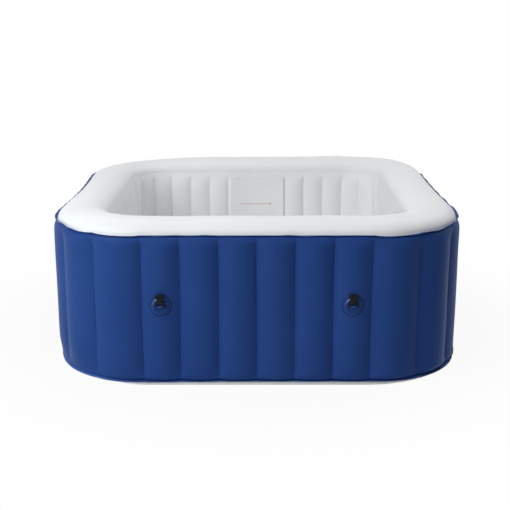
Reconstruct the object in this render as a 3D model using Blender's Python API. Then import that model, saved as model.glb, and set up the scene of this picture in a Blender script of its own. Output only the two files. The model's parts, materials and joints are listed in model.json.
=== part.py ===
"""Square inflatable hot tub with swollen ribs, tie webs, wall fittings and cover buckles.

Units are metres with +Z up. The front faces -Y, and the origin is the middle of the base on the ground.
Every skin is one closed solid, and neighbouring pieces keep a small clearance at their welds.
"""
from math import cos, pi, radians, sin, sqrt

import bmesh
import bpy
from mathutils import Matrix, Vector

# Overall sizes of the tub
WIDTH = 1.58
SEAM_HEIGHT = 0.565
CORNER_RADIUS = 0.354
CHAMBER_DEPTH = 0.188
RIM_RISE = 0.051
BASE_RISE = 0.0145

# Ribs between the tie creases
OUTER_RIBS = 6
INNER_RIBS = 9
CORNER_RIBS = 3
OUTER_SAG = 0.021
INNER_SAG = 0.014
OUTER_PAD = 0.010
INNER_PAD = 0.008
PAD_EDGE = 0.006
TOP_SHOULDER = 0.055
BASE_SHOULDER = 0.036
INNER_SHOULDER = 0.030

# Sheets and welds
CLEARANCE = 0.0003
SKIN = 0.0007
BASE_SKIN = 0.0008
TOP_FLANGE = 0.011
BASE_FLANGE = 0.014
HIDDEN_FLANGE = 0.012
BASE_SWELL = 0.003
BASE_ROLL = 0.012
CORNER_TUCK = 0.045

# Tie webs inside the air chamber
WEB = 0.0005
WEB_LOW = 0.075
WEB_HIGH = 0.500
FOLD_REACH = 0.0012
TIE_SETBACK = 0.0040

# Air bubble ring on the pool floor, and its feed tube
RING_WIDTH = 0.044
RING_HEIGHT = 0.034
RING_WALL = 0.0012
RING_FROM_WALL = 0.049
FEED_RADIUS = 0.010
FEED_HEIGHT = 0.0150
FEED_BEND = 0.040

# Flat panels at the middle of the back
PANEL = 0.0020
PANEL_MARGIN = 0.0025
PANEL_CORNER = 0.030
FITTING_PANEL_LOW = 0.060
FITTING_PANEL_HIGH = 0.540
CONNECTION_PANEL_LOW = 0.105
CONNECTION_PANEL_HIGH = 0.440

# Water ports, air inlet and their caps
PORT_SPREAD = 0.065
PORT_HEIGHT = 0.175
PORT_BORE = 0.020
PORT_WALL = 0.004
PORT_INSIDE = 0.010
SPIGOT_LENGTH = 0.026
FLANGE_WIDTH = 0.012
FLANGE_THICK = 0.004
AIR_HEIGHT = 0.275
AIR_BORE = 0.015
AIR_INSIDE = 0.030
WASHER = 0.0020
CAP_WALL = 0.0040
CAP_TOP = 0.0030
CAP_FIT = 0.0006
CAP_LIP = 0.0020
GRIP_DEPTH = 0.0010
STRAINER_RADIUS = 0.040
STRAINER_HEIGHT = 0.024
STRAINER_WALL = 0.0028
SLIT_WIDTH = 0.0050
SLIT_PITCH = 0.0100
SLIT_COUNT = 5
SLIT_DEPTH = 0.012

# Inflation valve
VALVE_HEIGHT = 0.370
VALVE_BORE = 0.011
VALVE_WALL = 0.005
VALVE_NECK = 0.014
VALVE_INSIDE = 0.012
VALVE_LEDGE = 0.003
STEM_RADIUS = 0.003
STEM_FIT = 0.0005
POPPET_RADIUS = 0.013
POPPET_THICK = 0.002
BUTTON_RADIUS = 0.0085
BUTTON_HEIGHT = 0.009
BUTTON_THICK = 0.002
SPRING_RADIUS = 0.0062
SPRING_WIRE = 0.0004
SPRING_TURNS = 4
SPRING_POINTS = 9

# Drain valve, through the first rib of the right front corner
DRAIN_HEIGHT = 0.036
DRAIN_BORE = 0.0140
DRAIN_WALL = 0.0050
DRAIN_PROUD = 0.0020
DRAIN_CAP_THICK = 0.0050
DRAIN_PLUG_LENGTH = 0.012
DRAIN_DISC = 0.003
DRAIN_KNOB = 0.006
DRAIN_KNOB_RADIUS = 0.006

# Strap anchors and buckles on the front
ANCHOR_HEIGHT = 0.310
PATCH_RADIUS = 0.041
PATCH = 0.0015
PATCH_COLUMNS = 12
BOSS_RADIUS = 0.029
BOSS_PROUD = 0.0030
BOSS_ROUND = 0.0015
LOOP_WIDTH = 0.021
LOOP_WALL = 0.0012
LOOP_BORE = 0.0036
LOOP_STEM = 0.0040
BUCKLE_GAP = 0.0016
BUCKLE_THICK = 0.009
BUCKLE_HEAD = 0.031
BUCKLE_WAIST = 0.0165
BUCKLE_BASE = 0.035
BUCKLE_TOP = 0.043
BUCKLE_SHOULDER = 0.032
BUCKLE_NECK_HIGH = 0.022
BUCKLE_NECK_LOW = 0.018
BUCKLE_HIP = 0.011
BUCKLE_FOOT = 0.0045
BUCKLE_BEVEL = 0.0012
SLOT_WIDTH = 0.0225
SLOT_TOP = 0.009
BAR_HEIGHT = 0.0050
BAR_THICK = 0.0040
MOUTH_WIDTH = 0.023
MOUTH_THICK = 0.0052
MOUTH_DEPTH = 0.017
WINDOW_LOW = 0.030
WINDOW_HIGH = 0.037

# Smoothness of round shapes
TURN_STEPS = 16
ARC_STEPS = 6
CUT_REACH = 0.010

# Sizes that follow from the ones above
CORE = WIDTH / 2 - OUTER_SAG - CORNER_RADIUS
INNER_RADIUS = CORNER_RADIUS - CHAMBER_DEPTH
RIB_PITCH = 2 * CORE / OUTER_RIBS
INNER_PITCH = 2 * CORE / INNER_RIBS
BASE_SEAM = BASE_RISE + BASE_SKIN + CLEARANCE + SKIN
FLOOR_TOP = BASE_SKIN + CLEARANCE
BACK_FACE = CORE + CORNER_RADIUS + OUTER_PAD + CLEARANCE + PANEL
POOL_FACE = CORE + INNER_RADIUS - INNER_PAD - CLEARANCE - PANEL
RING_RADIUS = INNER_RADIUS - RING_FROM_WALL - RING_WIDTH / 2
SIDES = ("front", "right", "back", "left")
BACK = SIDES.index("back")

# Rib sections: share of the rib's width, and share of its swell there
OUTER_SECTION = ((0.0, 0.0), (0.2, 0.64), (0.5, 1.0), (0.8, 0.64))
INNER_SECTION = ((0.0, 0.0), (0.28, 1.0), (0.72, 1.0))

# Finish: colour, roughness, metallic
BLUE_PVC = ("blue_pvc", (0.016, 0.042, 0.165), 0.38, 0.0)
WHITE_PVC = ("white_pvc", (0.84, 0.85, 0.86), 0.42, 0.0)
GREY_PVC = ("grey_pvc", (0.60, 0.62, 0.64), 0.50, 0.0)
WEB_PVC = ("web_pvc", (0.70, 0.72, 0.74), 0.55, 0.0)
BLACK_PLASTIC = ("black_plastic", (0.012, 0.012, 0.014), 0.40, 0.0)
WHITE_PLASTIC = ("white_plastic", (0.80, 0.81, 0.82), 0.35, 0.0)
GREY_PLASTIC = ("grey_plastic", (0.30, 0.32, 0.35), 0.40, 0.0)
BLACK_RUBBER = ("black_rubber", (0.015, 0.015, 0.015), 0.80, 0.0)
STEEL = ("spring_steel", (0.55, 0.55, 0.57), 0.30, 1.0)


def clear_scene():
    """Remove what the file starts with."""
    for leftover in list(bpy.data.objects):
        bpy.data.objects.remove(leftover, do_unlink=True)


def finish_material(name, finish):
    """Give each piece its own material, with the finish's colour and shine."""
    label, colour, roughness, metallic = finish
    material = bpy.data.materials.new(f"{name}_{label}")
    material.use_nodes = True
    shader = material.node_tree.nodes["Principled BSDF"]
    shader.inputs["Base Color"].default_value = (*colour, 1.0)
    shader.inputs["Roughness"].default_value = roughness
    shader.inputs["Metallic"].default_value = metallic
    return material


def add_object(name, points, faces, finish, place=None, outward=False):
    """Make one named object from points and faces, at a place given as a matrix."""
    mesh = bpy.data.meshes.new(name)
    mesh.from_pydata([tuple(point) for point in points], [], faces)
    if outward:
        work = bmesh.new()
        work.from_mesh(mesh)
        bmesh.ops.recalc_face_normals(work, faces=work.faces[:])
        work.to_mesh(mesh)
        work.free()
    mesh.shade_smooth()
    mesh.set_sharp_from_angle(angle=radians(35))
    mesh.materials.append(finish_material(name, finish))
    piece = bpy.data.objects.new(name, mesh)
    bpy.context.scene.collection.objects.link(piece)
    piece.parent = bpy.data.objects.get("hot_tub")
    piece.matrix_world = place or Matrix.Identity(4)
    return piece


def sheet(name, rows, finish, thickness, closed=False, flip=False, offset=-1.0, capped=False):
    """Make a skin from rows of points, thickened away from its outer face."""
    count = len(rows[0])
    points = [point for row in rows for point in row]
    faces = []
    for row in range(len(rows) - 1):
        for column in range(count if closed else count - 1):
            ahead = (column + 1) % count
            quad = [row * count + column, (row + 1) * count + column,
                    (row + 1) * count + ahead, row * count + ahead]
            faces.append(quad[::-1] if flip else quad)
    if capped:
        last = (len(rows) - 1) * count
        faces.append([last + count - 1 - column for column in range(count)])
    piece = add_object(name, points, faces, finish)
    skin = piece.modifiers.new("skin", "SOLIDIFY")
    skin.thickness = thickness
    skin.offset = offset
    skin.use_even_offset = True
    skin.use_quality_normals = True
    return piece


def prism(name, outline, low, high, finish, place=None):
    """Extrude a flat outline along local Z."""
    count = len(outline)
    points = [Vector((x, y, low)) for x, y in outline] + [Vector((x, y, high)) for x, y in outline]
    faces = [list(range(count))[::-1], list(range(count, 2 * count))]
    for index in range(count):
        ahead = (index + 1) % count
        faces.append([index, ahead, count + ahead, count + index])
    return add_object(name, points, faces, finish, place, outward=True)


def turned(name, profile, finish, place, ring=True, steps=TURN_STEPS, grips=()):
    """Turn a profile of (radius, height) pairs about local Z, with grip ribs on some of its points."""
    points = []
    loops = []
    for index, (radius, height) in enumerate(profile):
        if radius == 0.0:
            loops.append([len(points)])
            points.append(Vector((0.0, 0.0, height)))
            continue
        loop = []
        for step in range(steps):
            angle = 2 * pi * step / steps
            reach = radius - GRIP_DEPTH * (step % 2) if index in grips else radius
            loop.append(len(points))
            points.append(Vector((reach * cos(angle), reach * sin(angle), height)))
        loops.append(loop)
    pairs = list(zip(loops, loops[1:]))
    if ring:
        pairs.append((loops[-1], loops[0]))
    faces = []
    for lower, upper in pairs:
        for step in range(steps):
            ahead = (step + 1) % steps
            corners = [lower[step % len(lower)], lower[ahead % len(lower)],
                       upper[ahead % len(upper)], upper[step % len(upper)]]
            faces.append(list(dict.fromkeys(corners)))
    return add_object(name, points, faces, finish, place, outward=True)


def box_cutter(name, size, centre, place=None):
    """Make a hidden box that cuts other pieces."""
    half = Vector(size) / 2
    outline = [(-half.x, -half.y), (half.x, -half.y), (half.x, half.y), (-half.x, half.y)]
    outline = [(x + centre[0], y + centre[1]) for x, y in outline]
    cutter = prism(name, outline, centre[2] - half.z, centre[2] + half.z, BLACK_PLASTIC, place)
    return hide_cutter(cutter)


def round_cutter(name, radius, low, high, place):
    """Make a hidden cylinder that cuts a round hole."""
    profile = [(0.0, low), (radius, low), (radius, high), (0.0, high)]
    cutter = turned(name, profile, BLACK_PLASTIC, place, ring=False)
    return hide_cutter(cutter)


def hide_cutter(cutter):
    """Keep a helper out of the finished part."""
    cutter.hide_render = True
    cutter.display_type = "WIRE"
    return cutter


def combine(piece, other, operation):
    """Cut another piece out of this one, or join it on."""
    step = piece.modifiers.new(operation.lower(), "BOOLEAN")
    step.operation = operation
    step.solver = "EXACT"
    step.object = other


def along(origin, direction):
    """Matrix that puts local Z along a direction at a point."""
    turn = Vector((0.0, 0.0, 1.0)).rotation_difference(Vector(direction))
    return Matrix.Translation(Vector(origin)) @ turn.to_matrix().to_4x4()


def contour_frame(distance, radius):
    """Core point and outward normal at a distance along the front's contour from its middle."""
    if abs(distance) <= CORE:
        return Vector((distance, -CORE)), Vector((0.0, -1.0))
    hand = 1.0 if distance > 0 else -1.0
    angle = (abs(distance) - CORE) / radius
    return Vector((hand * CORE, -CORE)), Vector((hand * sin(angle), -cos(angle)))


def wall_point(side, distance, radius, lift, height):
    """Point of a wall, lifted off its crease line, with the front turned round to a side."""
    core, normal = contour_frame(distance, radius)
    flat = core + normal * (radius + lift)
    return Matrix.Rotation(side * pi / 2, 3, "Z") @ Vector((flat.x, flat.y, height))


def crease_list(radius, ribs, padded):
    """Creases of one panel: one corner rib, the straight ribs, then two more corner ribs."""
    turn = radius * pi / 2 / CORNER_RIBS
    straight = [-CORE + 2 * CORE * rib / ribs for rib in range(ribs + 1)]
    if padded:
        straight = [place for place in straight if abs(place) > RIB_PITCH * 0.99]
    corner = [CORE + turn * (rib + 1) for rib in range(CORNER_RIBS - 1)]
    return [-CORE - turn] + straight + corner


def wall_columns(radius, ribs, section, pad_share, padded):
    """Columns of one panel as (distance, swell), with a flat pad in the middle of the back."""
    creases = crease_list(radius, ribs, padded)
    columns = []
    for start, end in zip(creases, creases[1:]):
        if padded and start < 0.0 < end:
            columns += [(start, 0.0), (start + PAD_EDGE, pad_share), (end - PAD_EDGE, pad_share)]
            continue
        columns += [(start + (end - start) * share, swell) for share, swell in section]
    columns.append((creases[-1], 0.0))
    columns[0] = (columns[0][0] + CLEARANCE / 2, 0.0)
    columns[-1] = (columns[-1][0] - CLEARANCE / 2, 0.0)
    return columns


def wall_rows(side, columns, profile, radius, sag):
    """Rows of points of a wall panel from its upright profile of (reach, swell share, height)."""
    return [[wall_point(side, distance, radius, reach + sag * swell * share, height)
             for distance, swell in columns] for reach, share, height in profile]


def outer_walls():
    """Four blue outer panels, each with a weld flange along its top and bottom."""
    top = SEAM_HEIGHT - SKIN
    profile = [(TOP_FLANGE, 0.0, top), (0.0, 0.0, top), (0.0, 0.75, top - 0.4 * TOP_SHOULDER),
               (0.0, 1.0, top - TOP_SHOULDER), (0.0, 1.0, BASE_SEAM + BASE_SHOULDER),
               (0.0, 0.0, BASE_SEAM), (BASE_FLANGE, 0.0, BASE_SEAM)]
    walls = []
    for side, word in enumerate(SIDES):
        columns = wall_columns(CORNER_RADIUS, OUTER_RIBS, OUTER_SECTION, OUTER_PAD / OUTER_SAG, side == BACK)
        rows = wall_rows(side, columns, profile, CORNER_RADIUS, OUTER_SAG)
        walls.append(sheet(f"outer_wall_{word}", rows, BLUE_PVC, SKIN))
    return walls


def inner_walls():
    """Four white inner panels that swell into the pool, with flanges hidden in the chamber."""
    profile = [(HIDDEN_FLANGE, 0.0, SEAM_HEIGHT), (0.0, 0.0, SEAM_HEIGHT),
               (0.0, 1.0, SEAM_HEIGHT - INNER_SHOULDER), (0.0, 1.0, FLOOR_TOP + INNER_SHOULDER),
               (0.0, 0.0, FLOOR_TOP), (HIDDEN_FLANGE, 0.0, FLOOR_TOP)]
    walls = []
    for side, word in enumerate(SIDES):
        columns = wall_columns(INNER_RADIUS, INNER_RIBS, INNER_SECTION, INNER_PAD / INNER_SAG, side == BACK)
        rows = wall_rows(side, columns, profile, INNER_RADIUS, -INNER_SAG)
        walls.append(sheet(f"inner_wall_{word}", rows, WHITE_PVC, SKIN, flip=True))
    return walls


def loop_angles():
    """Places round the whole loop as (side, straight place, corner angle)."""
    places = []
    for side in range(len(SIDES)):
        places.append((side, -CORE, 0.0))
        places += [(side, CORE, pi / 2 * step / ARC_STEPS) for step in range(ARC_STEPS)]
    return places


def loop_row(radius, height, corner_lift=0.0):
    """One closed row of points at a radius from the core square."""
    row = []
    for side, place, angle in loop_angles():
        reach = radius + corner_lift * sin(2 * angle)
        flat = Vector((place, -CORE)) + Vector((sin(angle), -cos(angle))) * reach
        row.append(Matrix.Rotation(side * pi / 2, 3, "Z") @ Vector((flat.x, flat.y, height)))
    return row


def top_rim():
    """White inflated rim: an arched ring between the outer and the inner weld."""
    outer_seam = SEAM_HEIGHT + CLEARANCE + SKIN
    inner_seam = SEAM_HEIGHT + CLEARANCE
    middle = (CORNER_RADIUS + INNER_RADIUS) / 2
    rows = [loop_row(CORNER_RADIUS + TOP_FLANGE, outer_seam), loop_row(CORNER_RADIUS, outer_seam)]
    for angle in (25, 55, 90, 125, 155):
        reach = middle + CHAMBER_DEPTH / 2 * cos(radians(angle))
        rows.append(loop_row(reach, outer_seam + RIM_RISE * sin(radians(angle))))
    rows += [loop_row(INNER_RADIUS, inner_seam), loop_row(INNER_RADIUS + HIDDEN_FLANGE, inner_seam)]
    return sheet("top_rim", rows, WHITE_PVC, SKIN, closed=True, flip=True)


def bottom_sheet():
    """Pale floor and underside in one sheet, rolled up to the bottom weld and tucked in at the corners."""
    rows = [loop_row(CORNER_RADIUS + BASE_FLANGE, BASE_RISE), loop_row(CORNER_RADIUS, BASE_RISE),
            loop_row(CORNER_RADIUS + BASE_SWELL, BASE_RISE / 2, -CORNER_TUCK / 2),
            loop_row(CORNER_RADIUS - BASE_ROLL, 0.0, -CORNER_TUCK)]
    return sheet("bottom_sheet", rows, GREY_PVC, BASE_SKIN, closed=True, capped=True)


def air_jet_ring():
    """Bubble channel, open below, that lies on the pool floor."""
    half = RING_WIDTH / 2
    section = [(half, 0.0), (0.9 * half, 0.6), (0.5 * half, 1.0), (-0.5 * half, 1.0), (-0.9 * half, 0.6),
               (-half, 0.0)]
    rows = [loop_row(RING_RADIUS + reach, FLOOR_TOP + RING_HEIGHT * share) for reach, share in section]
    return sheet("air_jet_ring", rows, WHITE_PVC, RING_WALL, closed=True, flip=True)


def feed_tube():
    """Tube inside the back of the chamber, from the air inlet down to the bubble ring."""
    start = BACK_FACE + CLEARANCE - AIR_INSIDE - CLEARANCE
    end = CORE + RING_RADIUS + RING_WIDTH / 2 + CLEARANCE
    middle = (start + CORE + INNER_RADIUS) / 2
    route = [Vector((0.0, start, AIR_HEIGHT))]
    bend_steps = 8
    for step in range(bend_steps + 1):
        angle = pi / 2 * step / bend_steps
        route.append(Vector((0.0, middle + FEED_BEND * (1 - sin(angle)),
                             AIR_HEIGHT - FEED_BEND * (1 - cos(angle)))))
    for step in range(bend_steps + 1):
        angle = pi / 2 * step / bend_steps
        route.append(Vector((0.0, middle - FEED_BEND * (1 - cos(angle)),
                             FEED_HEIGHT + FEED_BEND * (1 - sin(angle)))))
    route.append(Vector((0.0, end, FEED_HEIGHT)))
    return tube("air_feed_tube", route, FEED_RADIUS, 2, GREY_PVC)


def tube(name, route, radius, resolution, finish):
    """Make a solid tube along a route of points."""
    curve = bpy.data.curves.new(name, "CURVE")
    curve.dimensions = "3D"
    curve.bevel_depth = radius
    curve.bevel_resolution = resolution
    curve.use_fill_caps = True
    spline = curve.splines.new("POLY")
    spline.points.add(len(route) - 1)
    for point, place in zip(spline.points, route):
        point.co = (*place, 1.0)
    curve.materials.append(finish_material(name, finish))
    piece = bpy.data.objects.new(name, curve)
    bpy.context.scene.collection.objects.link(piece)
    piece.parent = bpy.data.objects.get("hot_tub")
    return piece


def web_stations(side, marks):
    """Plan points of a tie web from (wall, place) marks on the straight part of a side."""
    reach = {"outer": CORNER_RADIUS - SKIN - CLEARANCE - FOLD_REACH,
             "inner": INNER_RADIUS + SKIN + CLEARANCE + FOLD_REACH,
             "seat": INNER_RADIUS + SKIN + CLEARANCE + WEB / 2,
             "short": CORNER_RADIUS - SKIN - CLEARANCE - FOLD_REACH - TIE_SETBACK}
    return [wall_point(side, place, reach[wall], 0.0, 0.0) for wall, place in marks]


def web(name, plan):
    """Make an upright tie web along a plan line."""
    rows = [[point + Vector((0.0, 0.0, height)) for point in plan] for height in (WEB_HIGH, WEB_LOW)]
    return sheet(name, rows, WEB_PVC, WEB, offset=0.0)


def tie_webs():
    """Pleated webs along the sides, single ties at the panel edges and ties at the corners."""
    third = [("inner", 4.5 * INNER_PITCH), ("outer", 3 * RIB_PITCH), ("inner", 3.5 * INNER_PITCH),
             ("outer", 2 * RIB_PITCH), ("inner", 2.5 * INNER_PITCH)]
    joined = third + [("outer", RIB_PITCH), ("inner", 0.5 * INNER_PITCH)]
    for side, word in enumerate(SIDES):
        if side == BACK:
            for hand, label in ((1, "a"), (-1, "b")):
                marks = third + [("outer", RIB_PITCH + TIE_SETBACK)]
                web(f"pleated_web_{word}_{label}", web_stations(side, [(w, hand * p) for w, p in marks]))
        else:
            marks = joined + [("outer", 0.0)] + [(wall, -place) for wall, place in joined[::-1]]
            web(f"pleated_web_{word}", web_stations(side, marks))
        for hand, label in ((1, "a"), (-1, "b")):
            marks = [("seat", hand * RIB_PITCH), ("short", hand * RIB_PITCH)]
            web(f"tie_web_{word}_{label}", web_stations(side, marks))
        for rib in range(1, CORNER_RIBS):
            angle = pi / 2 * rib / CORNER_RIBS
            normal = Vector((sin(angle), -cos(angle), 0.0))
            corner = Vector((CORE, -CORE, 0.0))
            turn = Matrix.Rotation(side * pi / 2, 3, "Z")
            ends = (INNER_RADIUS + SKIN + CLEARANCE + WEB, CORNER_RADIUS - SKIN - CLEARANCE - WEB)
            web(f"corner_web_{word}_{rib}", [turn @ (corner + normal * reach) for reach in ends])


def rounded_outline(width, low, high, radius):
    """Outline of an upright rounded rectangle, as (x, z) pairs."""
    outline = []
    half = width / 2 - radius
    corners = ((half, low + radius, -90), (half, high - radius, 0),
               (-half, high - radius, 90), (-half, low + radius, 180))
    for x, z, start in corners:
        for step in range(ARC_STEPS + 1):
            angle = radians(start + 90 * step / ARC_STEPS)
            outline.append((x + radius * cos(angle), z + radius * sin(angle)))
    return outline


def flat_panel(name, low, high, face, finish):
    """Flat panel at the middle of the back, standing upright, whose rear face lies at a depth."""
    width = 2 * (RIB_PITCH - PAD_EDGE - PANEL_MARGIN)
    upright = Matrix.Rotation(pi / 2, 4, "X")
    outline = rounded_outline(width, low, high, PANEL_CORNER)
    return prism(name, outline, -face, -face + PANEL, finish, upright)


def cut_round(pieces, name, radius, place, low, high):
    """Cut one round hole through several skins, with the running clearance."""
    cutter = round_cutter(f"{name}_hole", radius + CLEARANCE, low, high, place)
    for piece in pieces:
        combine(piece, cutter, "DIFFERENCE")


def over_cap(name, spigot, length, finish, place):
    """Screw cap over a spigot, with grip ribs round its side."""
    inner = spigot + CAP_FIT
    outer = inner + CAP_WALL
    seat = length + 2 * CLEARANCE + WASHER
    profile = [(0.0, seat), (inner, seat), (inner, FLANGE_THICK + CAP_LIP), (outer, FLANGE_THICK + CAP_LIP),
               (outer, seat + CAP_TOP - GRIP_DEPTH), (outer - 2 * GRIP_DEPTH, seat + CAP_TOP),
               (0.0, seat + CAP_TOP)]
    return turned(name, profile, finish, place, ring=False, steps=2 * TURN_STEPS, grips=(3, 4))


def washer(name, bore, spigot, length, place):
    """Seal washer on the end of a spigot, carried in its cap."""
    low = length + CLEARANCE
    profile = [(bore, low), (spigot, low), (spigot, low + WASHER), (bore, low + WASHER)]
    return turned(name, profile, BLACK_RUBBER, place)


def wall_fitting(name, bore, wall, inside, finish, place):
    """Flanged tube through the back, with its outer end as a spigot."""
    outer = bore + wall
    flange = outer + FLANGE_WIDTH
    profile = [(bore, -inside), (outer, -inside), (outer, 0.0), (flange, 0.0), (flange, FLANGE_THICK),
               (outer, FLANGE_THICK), (outer, SPIGOT_LENGTH), (bore, SPIGOT_LENGTH)]
    return turned(name, profile, finish, place)


def strainer(name, finish, place):
    """Domed strainer with slits, round the inner end of a water port."""
    collar = PORT_BORE + PORT_WALL + CAP_FIT
    outer = STRAINER_RADIUS
    inner = outer - STRAINER_WALL
    top = STRAINER_HEIGHT
    profile = [(0.0, top), (0.55 * outer, top - 0.001), (0.92 * outer, top - 0.006), (outer, 0.5 * top),
               (outer, 0.0), (collar, 0.0), (collar, STRAINER_WALL), (inner, STRAINER_WALL),
               (inner, 0.48 * top), (0.92 * inner, top - 0.006 - STRAINER_WALL),
               (0.55 * inner, top - 0.001 - STRAINER_WALL), (0.0, top - STRAINER_WALL)]
    cover = turned(name, profile, finish, place, ring=False)
    for slit in range(SLIT_COUNT):
        shift = (slit - (SLIT_COUNT - 1) / 2) * SLIT_PITCH
        length = 2 * sqrt((0.8 * outer) ** 2 - shift ** 2)
        size = (length, SLIT_WIDTH, SLIT_DEPTH)
        cutter = box_cutter(f"{name}_slit_{slit}", size, (0.0, shift, top), place)
        combine(cover, cutter, "DIFFERENCE")
    return cover


def water_port(word, shift, skins):
    """Water port: fitting, screw cap and washer outside, strainer inside."""
    place = along((shift, BACK_FACE + CLEARANCE, PORT_HEIGHT), (0, 1, 0))
    inside = BACK_FACE + CLEARANCE - POOL_FACE + PORT_INSIDE
    outer = PORT_BORE + PORT_WALL
    wall_fitting(f"{word}_fitting", PORT_BORE, PORT_WALL, inside, GREY_PLASTIC, place)
    washer(f"{word}_seal", PORT_BORE, outer, SPIGOT_LENGTH, place)
    over_cap(f"{word}_cap", outer, SPIGOT_LENGTH, GREY_PLASTIC, place)
    pool_side = along((shift, POOL_FACE - CLEARANCE, PORT_HEIGHT), (0, -1, 0))
    strainer(f"{word}_strainer", WHITE_PLASTIC, pool_side)
    cut_round(skins, f"{word}_port", outer, place, -inside - CUT_REACH, CUT_REACH)


def air_inlet(skins):
    """Air inlet for the bubbles: fitting with a push-on cap."""
    place = along((0.0, BACK_FACE + CLEARANCE, AIR_HEIGHT), (0, 1, 0))
    outer = AIR_BORE + PORT_WALL
    wall_fitting("air_inlet_fitting", AIR_BORE, PORT_WALL, AIR_INSIDE, GREY_PLASTIC, place)
    inner = outer + CLEARANCE
    seat = SPIGOT_LENGTH + CLEARANCE
    lip = FLANGE_THICK + CAP_LIP
    profile = [(0.0, seat), (inner, seat), (inner, lip), (inner + CAP_WALL, lip),
               (inner + CAP_WALL / 2, seat + CAP_TOP), (0.0, seat + CAP_TOP)]
    turned("air_inlet_cap", profile, GREY_PLASTIC, place, ring=False)
    cut_round(skins, "air_inlet", outer, place, -AIR_INSIDE, CUT_REACH)


def inflation_valve(skins):
    """Inflation valve: body, sprung stem with its poppet, washer and screw cap."""
    place = along((0.0, BACK_FACE + CLEARANCE, VALVE_HEIGHT), (0, 1, 0))
    outer = VALVE_BORE + VALVE_WALL
    guide = STEM_RADIUS + STEM_FIT
    body = [(VALVE_BORE, VALVE_NECK), (VALVE_BORE, 0.0), (guide, 0.0), (guide, -VALVE_LEDGE),
            (VALVE_BORE, -VALVE_LEDGE), (VALVE_BORE, -VALVE_INSIDE), (outer, -VALVE_INSIDE), (outer, 0.0),
            (outer + FLANGE_WIDTH, 0.0), (outer + FLANGE_WIDTH, FLANGE_THICK), (outer, FLANGE_THICK),
            (outer, VALVE_NECK)]
    turned("inflation_valve_body", body, GREY_PLASTIC, place)
    seat = -VALVE_INSIDE - CLEARANCE
    stem = [(0.0, seat - POPPET_THICK), (POPPET_RADIUS, seat - POPPET_THICK), (POPPET_RADIUS, seat),
            (STEM_RADIUS, seat), (STEM_RADIUS, BUTTON_HEIGHT), (BUTTON_RADIUS, BUTTON_HEIGHT),
            (BUTTON_RADIUS, BUTTON_HEIGHT + BUTTON_THICK), (0.0, BUTTON_HEIGHT + BUTTON_THICK)]
    turned("inflation_valve_stem", stem, WHITE_PLASTIC, place, ring=False)
    low = SPRING_WIRE + CLEARANCE
    rise = BUTTON_HEIGHT - 2 * low
    count = SPRING_TURNS * SPRING_POINTS
    coil = []
    for step in range(count + 1):
        angle = 2 * pi * step / SPRING_POINTS
        height = low + rise * step / count
        coil.append(place @ Vector((SPRING_RADIUS * cos(angle), SPRING_RADIUS * sin(angle), height)))
    tube("inflation_valve_spring", coil, SPRING_WIRE, 1, STEEL)
    print("least gap between spring turns, mm:", round(1000 * (rise / SPRING_TURNS - 2 * SPRING_WIRE), 2))
    washer("inflation_valve_seal", VALVE_BORE, outer, VALVE_NECK, place)
    over_cap("inflation_valve_cap", outer, VALVE_NECK, GREY_PLASTIC, place)
    cut_round(skins, "inflation_valve", outer, place, -VALVE_INSIDE - CUT_REACH, CUT_REACH)


def drain_valve(skins):
    """Drain through the corner rib beside the right side: body, screw cap, washer and inner plug."""
    turn = pi / 2 / CORNER_RIBS / 2
    direction = Vector((cos(turn), -sin(turn), 0.0))
    corner = Vector((CORE, -CORE, DRAIN_HEIGHT))
    outer_end = CORNER_RADIUS + OUTER_SAG + DRAIN_PROUD
    inner_end = INNER_RADIUS - INNER_SAG - DRAIN_PROUD
    outer = DRAIN_BORE + DRAIN_WALL
    place = along(corner + direction * outer_end, direction)
    length = outer_end - inner_end
    turned("drain_valve_body", [(DRAIN_BORE, -length), (outer, -length), (outer, 0.0), (DRAIN_BORE, 0.0)],
           BLACK_PLASTIC, place)
    washer("drain_seal", DRAIN_BORE, outer, 0.0, place)
    seat = 2 * CLEARANCE + WASHER
    plug = DRAIN_BORE - CAP_FIT
    top = seat + DRAIN_CAP_THICK
    profile = [(0.0, -DRAIN_PLUG_LENGTH), (plug, -DRAIN_PLUG_LENGTH), (plug, seat), (outer, seat),
               (outer, top - GRIP_DEPTH), (outer - 2 * GRIP_DEPTH, top), (0.0, top)]
    turned("drain_cap", profile, BLACK_PLASTIC, place, ring=False, steps=2 * TURN_STEPS, grips=(3, 4))
    inner_place = along(corner + direction * inner_end, -direction)
    seat = CLEARANCE
    profile = [(0.0, -DRAIN_PLUG_LENGTH), (plug, -DRAIN_PLUG_LENGTH), (plug, seat), (outer, seat),
               (outer, seat + DRAIN_DISC), (DRAIN_KNOB_RADIUS, seat + DRAIN_DISC),
               (DRAIN_KNOB_RADIUS, seat + DRAIN_DISC + DRAIN_KNOB), (0.0, seat + DRAIN_DISC + DRAIN_KNOB)]
    turned("drain_plug", profile, WHITE_PLASTIC, inner_place, ring=False)
    cut_round(skins, "drain", outer, place, -length - CUT_REACH, CUT_REACH)


def crown_lift(shift):
    """Lift of a straight outer rib off its crease line, at a distance from its middle."""
    share = abs(shift) / RIB_PITCH
    section = [(abs(0.5 - place), swell) for place, swell in OUTER_SECTION]
    for (far, low), (near, high) in zip(section, section[1:]):
        if near <= share <= far:
            return OUTER_SAG * (low + (high - low) * (far - share) / (far - near))
    return 0.0


def wall_face(shift, lift):
    """Depth of a front rib's face at a distance from its middle, raised by a lift."""
    return -(CORE + CORNER_RADIUS + crown_lift(shift) + lift)


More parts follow.
